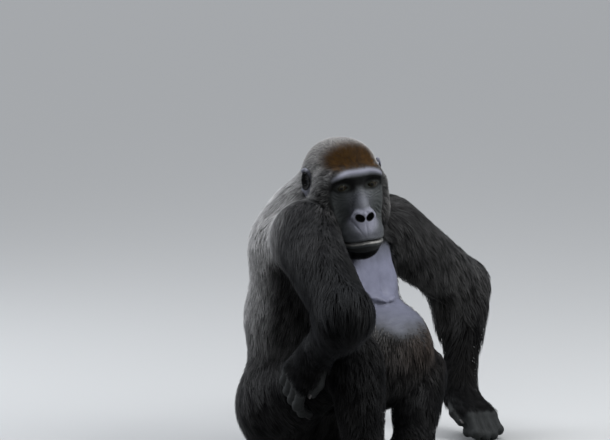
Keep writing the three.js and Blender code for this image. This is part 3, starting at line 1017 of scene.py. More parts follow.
# Painted shade: nearly black in the sockets, under the brow, in the nostrils, on the line of the mouth and on
# the chin below it.
deep = 0.97 * step_between(1.3, 0.8, np.hypot((aside - 33) / 27, (up - 16) / 15)) * (forward > 60)
painted_shade_under_brow = 0.97 * step_between(8, 13, arch - up) * step_between(39, 27, arch - up)
painted_shade_under_brow *= step_between(68, 58, aside) * step_between(50, 70, forward)
deep = np.maximum(deep, painted_shade_under_brow)
in_hollows = np.min([hollow(points_in_head) for hollow in both(nostril)], axis=0) / MM
deep = np.maximum(deep, step_between(5.0, 3.4, in_hollows) * on_face)
deep = np.maximum(deep, 0.8 * step_between(-9, -15, from_mouth) * on_face)
deep = np.maximum(deep, bell(from_mouth, 0, 1.7) * step_between(53, 46, aside) * front * on_face)
pale *= on_face
# The own black skin of hands and feet, made darker still.
for name in ("hand_right", "hand_left", "foot_right", "foot_left"):
    deep = np.maximum(deep, 0.6 * step_between(0.006, 0.0, PARTS[name](points)))
# Painted shade in the bowl of each ear.
for side, s in SIDES.items():
    bowl = held(HEAD + HEAD_AXES @ EAR_STEP[side], HEAD_AXES @ EAR_TURN[side], ear_bowl(s))
    near_ear = step_between(0.004, 0.001, PARTS["ear_" + side](points))
    deep = np.maximum(deep, near_ear * step_between(0.0052, 0.0034, bowl(points)))
    # Painted highlight over the ear.
    pale = np.maximum(pale, 0.6 * near_ear)
# Painted sheen and shade on the naked chest: paler high up, darker below the breasts and under the chin.
body_up = in_body(points)[2]
chest_sheen_and_shade = bare_chest(points) * (0.2 + 0.8 * step_between(285, 385, body_up))
chest_sheen_and_shade *= 1 - 0.55 * step_between(430, 480, body_up)
mark(skin, **masks_on_skin, lips=lip_edge, lids=lid_edge, chest=chest_sheen_and_shade, pale=pale, deep=deep)
print("marks on the skin:", len(skin.data.attributes), "attributes in all")

# %% [markdown]
# ## Eyes
# A gorilla's eye is small, deep and dark: a brown iris round a black pupil, and a white that is hardly
# lighter than the skin. The ball has a slight bulge over the iris, as the clear front of a real eye has, and
# stands in its own frame with Z along the gaze, so that the material can colour it in rings.
# %% Eyes
IRIS = math.radians(31)


def eye_ball(side):
    """One eye, turned to look a little down and to its right."""
    rings, spokes = 36, 48
    polar = np.linspace(0, math.pi, rings + 1)[1:-1]
    around = np.linspace(0, 2 * math.pi, spokes, endpoint=False)
    polar, around = (grid.ravel() for grid in np.meshgrid(polar, around, indexing="ij"))
    bulge = 1 + 0.045 * step_between(IRIS * 1.25, IRIS * 0.5, polar)
    ball = np.stack([np.sin(polar) * np.cos(around), np.sin(polar) * np.sin(around), np.cos(polar)], 1)
    ball = np.concatenate([ball * bulge[:, None], [[0, 0, 1.045], [0, 0, -1]]]) * EYE_RADIUS * MM
    row, column = np.meshgrid(np.arange(rings - 2), np.arange(spokes), indexing="ij")
    row, column = row.ravel(), column.ravel()
    after = (column + 1) % spokes
    a, b = row * spokes + column, (row + 1) * spokes + column
    c, d = (row + 1) * spokes + after, row * spokes + after
    top, bottom = len(ball) - 2, len(ball) - 1
    first, second = np.arange(spokes), (np.arange(spokes) + 1) % spokes
    last = (rings - 2) * spokes
    faces = np.concatenate([
        np.stack([a, b, c], 1), np.stack([a, c, d], 1),
        np.stack([np.full(spokes, top), first, second], 1),
        np.stack([np.full(spokes, bottom), last + second, last + first], 1),
    ])
    eye = piece_from("eye_ball_" + side, ball, faces)
    gaze = HEAD_AXES @ way(-0.20, 1, -0.10)
    eye.matrix_world = Matrix.Translation(HEAD + HEAD_AXES @ EYE_PLACE[side]) @ Vector(
        gaze).to_track_quat("Z", "Y").to_matrix().to_4x4()
    return eye


eyes = [eye_ball(side) for side in SIDES]
print("eyes", [tuple(round(v, 3) for v in eye.location) for eye in eyes])

# %% [markdown]
# ## Nails
# Gorillas have flat dark nails, not claws. Each is a small curved plate, thickest in the middle, that lies
# on the back of the last bone of a finger or toe and stands a little past its tip.
# %% Nails


def nail(tip, along, back, width, size):
    """A curved plate with its root behind the tip. Sizes are in millimetres."""
    rows, columns = 9, 9
    v, u = (grid.ravel() for grid in np.meshgrid(
        np.linspace(0, 1, rows), np.linspace(-1, 1, columns), indexing="ij"))
    y = along / np.linalg.norm(along)
    x = np.cross(y, back)
    x = x / np.linalg.norm(x)
    z = np.cross(x, y)
    rounded = np.sqrt(1 - 0.42 * np.clip(v - 0.6, 0, 1) ** 2)
    half = width / 2 * (0.82 + 0.18 * np.sin(v * math.pi / 2)) * rounded
    across = u * half
    run = (v - 0.62) * size + 1.6 * step_between(0.7, 1, v) * (1 - u * u) - 0.9 * (1 - v) * u * u
    rise = -0.9 * u * u * half / 3.2 + 0.5 * np.sin(v * math.pi)
    thick = 0.55 + 0.35 * (1 - u * u)
    flat = across[:, None] * x + run[:, None] * y
    sheet = [flat + (rise + lift)[:, None] * z for lift in (thick / 2, -thick / 2)]
    corners = tip + np.concatenate(sheet) * MM
    i, j = (grid.ravel() for grid in np.meshgrid(np.arange(rows - 1), np.arange(columns - 1), indexing="ij"))
    a, b = i * columns + j, i * columns + j + 1
    c, d = b + columns, a + columns
    count = rows * columns
    faces = [np.stack([a, b, c, d], 1), np.stack([a, d, c, b], 1) + count]
    rim = [*range(columns), *(n * columns + columns - 1 for n in range(1, rows)),
           *(count - 1 - n for n in range(1, columns)), *(n * columns for n in range(rows - 2, 0, -1))]
    rim = np.array(rim)
    after = np.roll(rim, -1)
    faces.append(np.stack([rim, rim + count, after + count, after], 1))
    return corners, np.concatenate(faces)


def joined(name, pieces):
    """One mesh object from several lots of corners and faces."""
    start, corners, faces = 0, [], []
    for some_corners, some_faces in pieces:
        corners.append(some_corners)
        faces.append(some_faces + start)
        start += len(some_corners)
    return piece_from(name, np.concatenate(corners), np.concatenate(faces))


def hand_nails(side):
    """Nails on the four fingers and the thumb of one hand."""
    s, axes = SIDES[side], HAND_AXES[side]
    made = []
    for ends in finger_bones(side):
        along = ends[3] - ends[2]
        along = along / np.linalg.norm(along)
        back = np.cross(np.array([1.0, 0, 0]), along)
        radius = 10.6 - 1.5
        spot = WRIST[side] + axes @ (ends[3] + along * 4 * MM + back * (radius - 0.4) * MM)
        made.append(nail(spot, axes @ along, axes @ back, 12, 12))
    a, b = way(s * 46, -56, -14), way(s * 46, -86, -18)
    along = (b - a) / np.linalg.norm(b - a)
    back = np.cross(np.array([1.0, 0, 0]), along)
    spot = WRIST[side] + axes @ (b + along * 3.5 * MM + back * 8 * MM)
    made.append(nail(spot, axes @ along, axes @ back, 12, 12))
    return made


def foot_nails(side):
    """Nails on the five toes of one foot."""
    axes = FOOT_AXES[side]
    made = []
    for n, (a, b) in enumerate(toe_bones(side)):
        big = n == 4
        along = (b - a) / np.linalg.norm(b - a)
        back = np.cross(np.array([1.0, 0, 0]), along)
        radius = 13.2 if big else 11.4
        tilt = unit((along - 0.45 * back)[None])[0]
        up = np.cross(np.array([1.0, 0, 0]), tilt)
        spot = ANKLE[side] + axes @ (b + along * 5 * MM + back * (radius - 1.6) * MM)
        made.append(nail(spot, axes @ tilt, axes @ up, 14 if big else 11.5, 12 if big else 10))
    return made


nails = [joined("nails_hand_" + side, hand_nails(side)) for side in SIDES]
nails += [joined("nails_foot_" + side, foot_nails(side)) for side in SIDES]
print("nails are in", len(nails), "pieces")

# %% [markdown]
# ## The lie of the hair
# Hair has a grain, like wood. On the head it runs from the brow back over the crown, on the trunk down and
# out from the middle, on the upper arms towards the elbow, on the forearms back towards it, and on the thighs
# towards the knee. Long hair also hangs. Every part of the body has its own rule, and where two parts meet
# their rules are mixed.
# %% Lie
DOWN = np.array([0, 0, -1.0])


def lie_on_head(points):
    """Back over the crown, and down and back on the jaw."""
    left, _, up = in_head(points)
    jaw = step_between(20, -50, up)
    outward = left / 90
    local = np.stack([outward, 1 - 0.55 * jaw, -0.2 - 0.9 * jaw], 1)
    return local @ HEAD_AXES.T


def lie_on_trunk(points):
    """Down and outwards, and back over the shoulders."""
    left, _, up = in_body(points)
    high = step_between(400, 540, up)
    return np.stack([left / 260 * (1 + high), 0.25 * high, -1 + 0.2 * high], 1)


def lie_along(a, b, hang):
    """Along a limb from a to b, with so much hang added."""
    way_down_limb = (b - a) / np.linalg.norm(b - a) + hang * DOWN
    return lambda points: np.tile(way_down_limb, (len(points), 1))


LIE = {"trunk": lie_on_trunk, "head": lie_on_head}
for side in SIDES:
    LIE["ear_" + side] = lie_on_head
    LIE["upper_arm_" + side] = lie_along(SHOULDER[side], ELBOW[side], 0.55)
    LIE["forearm_" + side] = lie_along(WRIST[side], (ELBOW[side] + WRIST[side]) / 2 - way(0, 60, 110), 0.9)
    LIE["hand_" + side] = lie_along(WRIST[side], WRIST[side] + HAND_AXES[side][:, 1], 0.1)
    LIE["thigh_" + side] = lie_along(HIP[side], KNEE[side], 0.7)
    LIE["shin_" + side] = lie_along(KNEE[side], ANKLE[side], 0.3)
    LIE["foot_" + side] = lie_along(ANKLE[side], ANKLE[side] + FOOT_AXES[side][:, 1], 0.1)

# Length and width in millimetres, height as a share of the coat's depth, gathering into locks, hang, and
# locks to the square centimetre.
HAIR = {
    "trunk": (26, 1.5, 0.80, 0.16, 0.10, 11.0),
    "head": (10, 0.85, 0.75, 0.08, 0.0, 23.0),
    "ear": (6, 0.7, 0.6, 0.1, 0.0, 4.0),
    "upper_arm": (42, 1.6, 0.85, 0.45, 0.30, 7.5),
    "forearm": (42, 1.6, 0.85, 0.45, 0.40, 7.5),
    "hand": (13, 1.0, 0.8, 0.2, 0.05, 12.0),
    "thigh": (31, 1.6, 0.80, 0.35, 0.25, 6.5),
    "shin": (29, 1.5, 0.80, 0.35, 0.15, 6.5),
    "foot": (11, 1.0, 0.7, 0.2, 0.0, 12.0),
}


def kind_of(name):
    """The kind of a part, without its side."""
    return name.replace("_right", "").replace("_left", "")


def hair_at(shares):
    """The six numbers of the hair, mixed from the parts."""
    return shares @ np.array([HAIR[kind_of(name)] for name in PARTS])


def lie_at(points, normals, shares):
    """The lie of the hair along the skin, with a slow drift in it."""
    wanted = sum(shares[:, n : n + 1] * unit(LIE[name](points)) for n, name in enumerate(PARTS))
    wanted += 0.30 * np.stack([drift(points, 0.045, seed) for seed in (11, 12, 13)], 1)
    flat = wanted - np.einsum("ij,ij->i", wanted, normals)[:, None] * normals
    return unit(flat)


print("hair is planned for", len(HAIR), "kinds of part")

# %% [markdown]
# ## Roots
# Roots are spread evenly. The triangles of the skin are put in an order that keeps neighbours together, and
# a root is taken each time that enough area times density has passed. Where the skin is bare none is taken.
# %% Roots
chance = np.random.default_rng(7)
corners = points[triangles]
middles = corners.mean(1)
crossed = np.cross(corners[:, 1] - corners[:, 0], corners[:, 2] - corners[:, 0])
area = length(crossed) / 2
skin_shares = part_shares(middles)
bare_middles = bare_skin(middles)
density = hair_at(skin_shares)[:, 5] * 1e4 * step_between(0.85, 0.35, bare_middles)
density *= step_between(0.0005, 0.006, middles[:, 2] - FLOOR) * 0.9 + 0.1


def winding_order(spots):
    """An order of places that keeps neighbours together."""
    cells = ((spots - spots.min(0)) / 0.004).astype(np.int64)
    key = np.zeros(len(spots), np.int64)
    for bit in range(9):
        for axis in range(3):
            key |= ((cells[:, axis] >> bit) & 1) << (3 * bit + axis)
    return np.argsort(key, kind="stable")


order = winding_order(middles)
total = np.cumsum((area * density)[order])
count = int(total[-1])
ticks = (np.arange(count) + chance.random(count)) * total[-1] / count
chosen = order[np.clip(np.searchsorted(total, ticks), 0, len(order) - 1)]
one, two = chance.random((2, count))
flip = one + two > 1
one[flip], two[flip] = 1 - one[flip], 1 - two[flip]
a, b, c = (corners[chosen, n] for n in range(3))
roots = a + one[:, None] * (b - a) + two[:, None] * (c - a)
normals = np.zeros((len(skin.data.vertices), 3), np.float32)
skin.data.vertices.foreach_get("normal", normals.ravel())
normals = unit(normals[triangles[chosen]].mean(1).astype(float))
shares = skin_shares[chosen]
owner = np.argmax(shares, axis=1)
print("locks of hair:", count)

# %% [markdown]
# ## Locks
# Each lock is a closed blade with three sides: two at its edges and a ridge along its back, so light runs
# along it as it does on wet or groomed hair. Its path starts in the skin, rises to the coat's height and
# follows the curve of the body. Long locks sag, and neighbours draw together towards their tips. Lengths,
# widths and directions are settled first.
# %% Lengths and directions
RINGS = np.array([0.0, 0.34, 0.70, 1.0])
size, width, rise, gather, hang, _ = hair_at(shares).T
size = size * (1 + 0.28 * chance.standard_normal(count).clip(-1.6, 1.8)) * MM
left, forward, up = in_body(roots)
bald = bare_skin(roots)
size *= 1 - 0.62 * step_between(0.05, 0.7, bald)
on_jaw = step_between(-20, -70, in_head(roots)[2])
on_head = shares[:, list(PARTS).index("head")]
size *= 1 + 0.5 * on_head * on_jaw
size *= 1 - 0.4 * bell(up, 300, 60) * step_between(120, 190, forward)
width = width * (0.75 + 0.5 * chance.random(count)) * MM
lie = lie_at(roots, normals, shares)
sideways = np.cross(normals, lie)
yaw = 0.16 * chance.standard_normal(count)
lie = unit(lie * np.cos(yaw)[:, None] + sideways * np.sin(yaw)[:, None])
print("the longest lock is", round(float(size.max()), 3), "m")

# %% [markdown]
# ### The way of each lock
# A lock leaves the skin at its root, and each further place on it is moved to its own height over the skin.
# One lock in twelve leads its neighbours, which bend towards it.
# %% Paths
ROOT_DEPTH = 0.0012
CLEAR_OF_FLOOR = 0.0006
ONE_LEADER_IN = 12
SHORT_COAT = 4.5
COAT_OF = {
    "trunk": "trunk", "head": "head", "upper_arm": "arm", "forearm": "arm", "thigh": "leg", "shin": "leg",
}


def depth_of_coat(spots):
    """How deep the coat is over each root, in metres."""
    kinds = [kind_of(name) for name in PARTS]
    columns = [COAT[COAT_OF[kind]] if kind in COAT_OF else SHORT_COAT for kind in kinds]
    return part_shares(spots) @ np.array(columns) * MM


depth = depth_of_coat(roots)
top = np.minimum(rise * depth, size * 0.5) * (0.82 + 0.3 * chance.random(count))
paths = roots[:, None, :] + lie[:, None, :] * (size[:, None] * RINGS)[:, :, None]
heights = top[:, None] * (1 - (1 - RINGS) ** 1.8) - ROOT_DEPTH * (RINGS == 0)


def at_height(spots, wanted):
    """Moves places to a wanted height over the skin."""
    here, slope = slope_of(skin_field, spots, 0.002)
    steep = np.maximum(length(slope), 0.5)
    return spots - slope / steep[:, None] * ((here - wanted) / steep)[:, None].clip(-0.03, 0.03)


for n in range(1, len(RINGS)):
    paths[:, n] = at_height(paths[:, n], heights[:, n])
paths[:, 0] -= normals * ROOT_DEPTH
paths += DOWN * (hang * size)[:, None, None] * (RINGS**2)[None, :, None]

tree = KDTree(count // ONE_LEADER_IN + 1)
leaders = np.arange(0, count, ONE_LEADER_IN)
for n, leader in enumerate(leaders):
    tree.insert(roots[leader], n)
tree.balance()
nearest = leaders[[tree.find(spot)[1] for spot in roots]]
pull = (gather * (0.6 + 0.6 * chance.random(count)))[:, None] * RINGS**1.4
away = length(roots - roots[nearest])
pull *= step_between(0.03, 0.012, away)[:, None]
same_part = (np.einsum("ij,ij->i", normals, normals[nearest]) > 0.6)[:, None]
paths += (paths[nearest] - paths) * (pull * same_part)[:, :, None]
paths[:, :, 2] = np.maximum(paths[:, :, 2], FLOOR + CLEAR_OF_FLOOR)
print("locks with a path:", len(paths))

# %% [markdown]
# ## Coat pieces
# The locks are joined into one mesh for each region, each under two hundred thousand triangles. Locks of the
# head and trunk are short, and have one bend. Those of the limbs are long, and have two. Every lock also gets
# a small patch on a flat map of its region, unrolled round the region's own axis, so that a baked picture of
# the coat keeps the colour of the place where each lock grows.
# %% Coat meshes
SPREAD = 0.0014
PROFILE = (0.85, 1.0, 0.72)
TIP_RING = len(RINGS) - 1
SHORT, LONG = (0, 1), (0, 1, 2)


def lock_mesh(rows, rings):
    """Corners, triangles, and for each corner its share along the lock, its side and its normal."""
    path, ups = paths[rows], normals[rows]
    ahead = np.stack([path[:, 1] - path[:, 0], path[:, 2] - path[:, 0], path[:, 3] - path[:, 1]], 1)
    corners, facing = [], []
    for n in rings:
        run = unit(ahead[:, n])
        over = unit(np.cross(ups, run))
        out = np.cross(run, over)
        half = (width[rows] * PROFILE[n] / 2)[:, None]
        corners += [path[:, n] + over * half, path[:, n] + out * half * 0.75, path[:, n] - over * half]
        facing += [over + 0.4 * out, out, 0.4 * out - over]
    corners = np.stack([*corners, path[:, TIP_RING]], 1)
    facing = np.stack([*facing, out], 1)
    facing = facing / np.linalg.norm(facing, axis=2)[:, :, None]
    facing = unit((facing + 1.3 * ups[:, None, :]).reshape(-1, 3))
    faces = [(0, 2, 1)]
    for n in range(0, 3 * len(rings) - 3, 3):
        for u, v in ((0, 1), (1, 2), (2, 0)):
            faces += [(u + n, v + n, v + n + 3), (u + n, v + n + 3, u + n + 3)]
    last = 3 * len(rings)
    faces += [(last - 3, last - 2, last), (last - 2, last - 1, last), (last - 1, last - 3, last)]
    faces = np.array(faces)[None] + (np.arange(len(rows)) * (last + 1))[:, None, None]
    along = np.array([*np.repeat(RINGS[list(rings)], 3), 1.0])
    across = np.array([1, 0, -1] * len(rings) + [0])
    along, across = np.tile(along, len(rows)), np.tile(across, len(rows))
    return corners.reshape(-1, 3), faces.reshape(-1, 3), along, across, facing


def unrolled(spots, origin, axis, front):
    """Places on a map from 0 to 1, unrolled round an axis, with its seam opposite the front."""
    axis = axis / np.linalg.norm(axis)
    front = front - (front @ axis) * axis
    front = front / np.linalg.norm(front)
    across = np.cross(axis, front)
    off = spots - origin
    u = np.arctan2(off @ across, off @ front) / (2 * math.pi) + 0.5
    v = off @ axis
    v = (v - v.min()) / max(float(np.ptp(v)), 1e-6)
    return np.stack([0.01 + 0.98 * u, 0.01 + 0.98 * v], 1)


def coat_piece(name, rings, rows, origin, axis, front):
    """One region of the coat, with its map, its markings and softened shading."""
    corners, faces, along, across, facing = lock_mesh(rows, rings)
    coat = piece_from("coat_" + name, corners, faces)
    coat.data.normals_split_custom_set_from_vertices(facing.tolist())
    each = 3 * len(rings) + 1
    where = np.repeat(unrolled(roots[rows], origin, axis, front), each, axis=0)
    where += np.stack([across, along * 2 - 1], 1) * SPREAD
    uv = coat.data.uv_layers.new(name="OFBake")
    uv.data.foreach_set("uv", where[faces.ravel()].astype(np.float32).ravel())
    values = {key: np.repeat(mask(roots[rows]), each) for key, mask in MASKS.items()}
    mark(coat, along=along, strand=np.repeat(strand[rows], each), **values)
    return coat


strand = chance.random(count) * 0.4 + 0.6 * chance.random(count)[nearest]
part_names = list(PARTS)


def rows_of(*names):
    """The locks that grow on these parts."""
    wanted = [n for n, part in enumerate(part_names) if part in names]
    return np.isin(owner, wanted)


head_rows = rows_of("head", "ear_right", "ear_left")
trunk_rows = rows_of("trunk")
high = up > 500
behind = forward < np.where(up > 300, 20, 0)
FRONT, UP = way(0, 1, 0), way(0, 0, 1)


def limb_region(kinds, side, start, end, front):
    """A limb's locks, and the joints and the front that its map is unrolled by."""
    names = [kind + "_" + side for kind in kinds]
    return LONG, rows_of(*names), start[side], end[side] - start[side], front


regions = {
    "head": (SHORT, head_rows, HEAD, HEAD_AXES[:, 2], HEAD_AXES @ FRONT),
    "shoulders": (SHORT, trunk_rows & high, place(0, 0, 500), UP, FRONT),
}
for side, s in SIDES.items():
    here = trunk_rows & ~high & (left * s > 0)
    regions["back_" + side] = (SHORT, here & behind, place(0, 60, 300), UP, way(0, -1, 0))
    regions["front_" + side] = (SHORT, here & ~behind, place(0, -20, 300), UP, FRONT)
    regions["upper_arm_" + side] = limb_region(["upper_arm"], side, SHOULDER, ELBOW, UP)
    regions["forearm_" + side] = limb_region(["forearm", "hand"], side, ELBOW, WRIST, way(0, 1, 0.2))
    regions["thigh_" + side] = limb_region(["thigh"], side, HIP, KNEE, UP)
    regions["shin_" + side] = limb_region(["shin", "foot"], side, KNEE, ANKLE, FRONT)
coats = []
for name, (rings, rows, *turning) in regions.items():
    coats.append(coat_piece(name, rings, np.flatnonzero(rows), *turning))
    print("coat_" + name, len(coats[-1].data.polygons), "triangles")
print("the whole coat is", sum(len(coat.data.polygons) for coat in coats), "triangles")

# %% [markdown]
# ## Materials
# Every finish is built from nodes. Two effects serve more than one material, so each is a node group that is
# made once: the tones of the coat, and the fine grain of the hide. The markings come in as the numbers that
# were stored on the meshes, so the coat and the skin between its hairs always have the same colour.
# %% Helpers for nodes


def add(tree, kind, **settings):
    """A new node with these settings and, under inputs, these socket values."""
    inputs = settings.pop("inputs", {})
    made = tree.nodes.new(kind)
    for key, value in settings.items():
        setattr(made, key, value)
    for key, value in inputs.items():
        made.inputs[key].default_value = value
    return made


def wire(tree, *pairs):
    """Joins outputs to inputs."""
    for output, socket in pairs:
        tree.links.new(output, socket)


def mixed(tree, share, first, second):
    """A colour between two, each a colour or the output of a node."""
    mix = add(tree, "ShaderNodeMix", data_type="RGBA")
    for value, socket in ((share, mix.inputs[0]), (first, mix.inputs[6]), (second, mix.inputs[7])):
        if isinstance(value, bpy.types.NodeSocket):
            tree.links.new(value, socket)
        else:
            socket.default_value = value
    return mix.outputs[2]


def reckon(tree, operation, *values):
    """The output of a maths node."""
    maths = add(tree, "ShaderNodeMath", operation=operation)
    for value, socket in zip(values, maths.inputs):
        if isinstance(value, bpy.types.NodeSocket):
            tree.links.new(value, socket)
        else:
            socket.default_value = value
    return maths.outputs[0]


def stored(tree, name):
    """A number that was stored on the mesh."""
    return add(tree, "ShaderNodeAttribute", attribute_name=name).outputs["Fac"]


def grey(value, warm=0.0):
    """A grey, a little warmer or cooler."""
    return (value * (1 + warm), value, value * (1 - warm), 1)


def group(name, inputs, outputs):
    """An empty node group with these inputs and outputs, each a name and a kind."""
    tree = bpy.data.node_groups.new(name, "ShaderNodeTree")
    for label, kind in inputs:
        tree.interface.new_socket(label, in_out="INPUT", socket_type=kind)
    for label, kind in outputs:
        tree.interface.new_socket(label, in_out="OUTPUT", socket_type=kind)
    return tree, tree.nodes.new("NodeGroupInput"), tree.nodes.new("NodeGroupOutput")


def material(name):
    """A material with its Principled shader."""
    made = bpy.data.materials.new(name)
    made.use_nodes = True
    return made, made.node_tree, made.node_tree.nodes["Principled BSDF"]


print("node helpers are ready")

# %% [markdown]
# ### Tones of the coat
# A black coat isn't one black. Each hair is darkest at its root and greyer at its tip, and the pale tips also
# stand for the glow of backlit hair, as painted light. Locks differ from their neighbours, a little on grey
# hair and strongly on black hair, where the contrast also stands for painted highlights on single locks. The
# sun has bleached some to brown. Grey, with the painted light it carries, rust and brown then tint the marked
# places.
# %% Coat tones
ROOT, TIP = grey(0.0012), grey(0.0068, -0.04)
# The grey hair, pale enough at its tips to carry painted light as well.
GREY_AND_PAINTED_LIGHT_ROOT, GREY_AND_PAINTED_LIGHT_TIP = grey(0.014), grey(0.36, 0.02)
RUST, RUST_TIP = (0.010, 0.0045, 0.0006, 1), (0.034, 0.015, 0.001, 1)
BROWN = (0.026, 0.019, 0.015, 1)
NUMBER, COLOUR = "NodeSocketFloat", "NodeSocketColor"


def coat_tones():
    """A group that gives the colour of the hair from its markings."""
    tree, given, result = group(
        "coat tones",
        [("Rust", NUMBER), ("Brown", NUMBER), ("Grey_and_painted_light", NUMBER), ("Along", NUMBER), ("Strand", NUMBER)],
        [("Colour", COLOUR)],
    )
    where = add(tree, "ShaderNodeTexCoord").outputs["Object"]
    patch = add(tree, "ShaderNodeTexNoise", inputs={"Scale": 14.0, "Detail": 4.0})
    wire(tree, (where, patch.inputs["Vector"]))
    # Darkest at the root and paler at the tip; the pale tips partly stand for the painted glow of backlit
    # hair.
    along = reckon(tree, "POWER", given.outputs["Along"], 1.2)
    black = mixed(tree, along, ROOT, TIP)
    # Grey hair, with the painted light that its mask carries.
    black = mixed(tree, given.outputs["Grey_and_painted_light"], black, mixed(tree, along, GREY_AND_PAINTED_LIGHT_ROOT, GREY_AND_PAINTED_LIGHT_TIP))
    rust = mixed(tree, along, RUST, RUST_TIP)
    brown = mixed(tree, reckon(tree, "MULTIPLY", given.outputs["Brown"], 0.75), black, BROWN)
    coloured = mixed(tree, given.outputs["Rust"], brown, rust)
    # Strong contrast between locks on black hair, standing partly for painted highlights on single locks.
    contrast = reckon(tree, "MULTIPLY_ADD", given.outputs["Grey_and_painted_light"], -1.8, 2.6)
    centred = reckon(tree, "SUBTRACT", given.outputs["Strand"], 0.45)
    lighter = reckon(tree, "MAXIMUM", reckon(tree, "MULTIPLY_ADD", centred, contrast, 0.95), 0.1)
    lighter = reckon(tree, "MULTIPLY", lighter, reckon(tree, "MULTIPLY_ADD", patch.outputs["Fac"], 0.8, 0.6))
    scaled = add(tree, "ShaderNodeVectorMath", operation="SCALE")
    wire(tree, (coloured, scaled.inputs[0]), (lighter, scaled.inputs["Scale"]))
    wire(tree, (scaled.outputs[0], result.inputs["Colour"]))
    return tree


COAT_TONES = coat_tones()


def with_coat_tones(tree, along, strand):
    """The coat's colour in a material."""
    tones = add(tree, "ShaderNodeGroup", node_tree=COAT_TONES)
    for name, value in (("Along", along), ("Strand", strand)):
        if isinstance(value, bpy.types.NodeSocket):
            tree.links.new(value, tones.inputs[name])
        else:
            tones.inputs[name].default_value = value
    for name in ("Rust", "Brown", "Grey_and_painted_light"):
        wire(tree, (stored(tree, name.lower()), tones.inputs[name]))
    return tones.outputs["Colour"]


print("the group", COAT_TONES.name, "has", len(COAT_TONES.nodes), "nodes")

# %% [markdown]
# ### Grain of the hide
# Naked gorilla skin is leathery: small cells with furrows between them, and finer pores inside. The group
# gives a height for the bump and a mottling for the colour. The furrows' size is an input, because the skin
# of the chest is finer than that of the hands.
# %% Hide grain


def hide_grain():
    """A group that gives the height and mottling of leathery skin."""
    tree, given, result = group("hide grain", [("Size", NUMBER)], [("Height", NUMBER), ("Mottle", NUMBER)])
    where = add(tree, "ShaderNodeTexCoord").outputs["Object"]
    bend = add(tree, "ShaderNodeTexNoise", inputs={"Scale": 60.0, "Detail": 2.0})
    shifted = add(tree, "ShaderNodeVectorMath", operation="MULTIPLY_ADD")
    shifted.inputs[1].default_value = (0.004, 0.004, 0.004)
    cells = add(tree, "ShaderNodeTexVoronoi", feature="DISTANCE_TO_EDGE")
    pores = add(tree, "ShaderNodeTexNoise", inputs={"Scale": 1500.0, "Detail": 2.0})
    mottle = add(tree, "ShaderNodeTexNoise", inputs={"Scale": 45.0, "Detail": 6.0, "Roughness": 0.65})
    wire(tree, (where, bend.inputs["Vector"]), (where, shifted.inputs[2]), (where, pores.inputs["Vector"]),
         (where, mottle.inputs["Vector"]), (bend.outputs["Color"], shifted.inputs[0]),
         (shifted.outputs[0], cells.inputs["Vector"]), (given.outputs["Size"], cells.inputs["Scale"]))
    ridge = reckon(tree, "MINIMUM", reckon(tree, "MULTIPLY", cells.outputs["Distance"], 3.0), 0.6)
    height = reckon(tree, "MULTIPLY_ADD", pores.outputs["Fac"], 0.25, ridge)
    wire(tree, (height, result.inputs["Height"]), (mottle.outputs["Fac"], result.inputs["Mottle"]))
    return tree


HIDE_GRAIN = hide_grain()
print("the group", HIDE_GRAIN.name, "has", len(HIDE_GRAIN.nodes), "nodes")

# %% [markdown]
# ### Coat
# The coat is rough, with hardly any gloss or sheen of its own, so that the black of the limbs stays deep. The
# light on it comes from its many small blades, and from the light and shade painted into its tones.
# %% Coat material


def coat_material():
    made, tree, shader = material("coat")
    colour = with_coat_tones(tree, stored(tree, "along"), stored(tree, "strand"))
    wire(tree, (colour, shader.inputs["Base Color"]))
    shader.inputs["Roughness"].default_value = 0.55
    shader.inputs["Specular IOR Level"].default_value = 0.03
    shader.inputs["Sheen Weight"].default_value = 0.01
    shader.inputs["Sheen Roughness"].default_value = 0.5
    shader.inputs["Sheen Tint"].default_value = (0.75, 0.8, 1.0, 1)
    return made


COAT_FINISH = coat_material()
for coat in coats:
    coat.data.materials.append(COAT_FINISH)
print("coat finish on", len(coats), "pieces")

# %% [markdown]
# ### Skin
# One material covers the whole skin. Between the hairs it wears the coat's own tones with a streaky bump. On
# the naked places it is leathery: dark on the face, hands and feet, with painted highlights and painted shade
# over the face and ears and a blacker tone on the hands and feet; a grey with a hint of violet on the chest,
# made pale by painted sheen and darkened by painted shade below the breasts and under the chin; and pale on
# the edge of the lower lip.
# %% Skin material
# The third face colour is a painted highlight, the chest's two greys are made pale by painted sheen, and the
# near black is painted shade in the hollows as well as the own black of hands and feet.
FACE_DARK, FACE_LIGHT = (0.012, 0.013, 0.013, 1), (0.050, 0.054, 0.054, 1)
FACE_PAINTED_HIGHLIGHT = (0.19, 0.19, 0.235, 1)
CHEST_PAINTED_SHEEN_DARK, CHEST_PAINTED_SHEEN_LIGHT = (0.070, 0.072, 0.098, 1), (0.150, 0.153, 0.205, 1)
BLACK_AND_PAINTED_SHADE = (0.002, 0.002, 0.002, 1)
LIP = (0.32, 0.305, 0.285, 1)
LID = (0.055, 0.060, 0.053, 1)


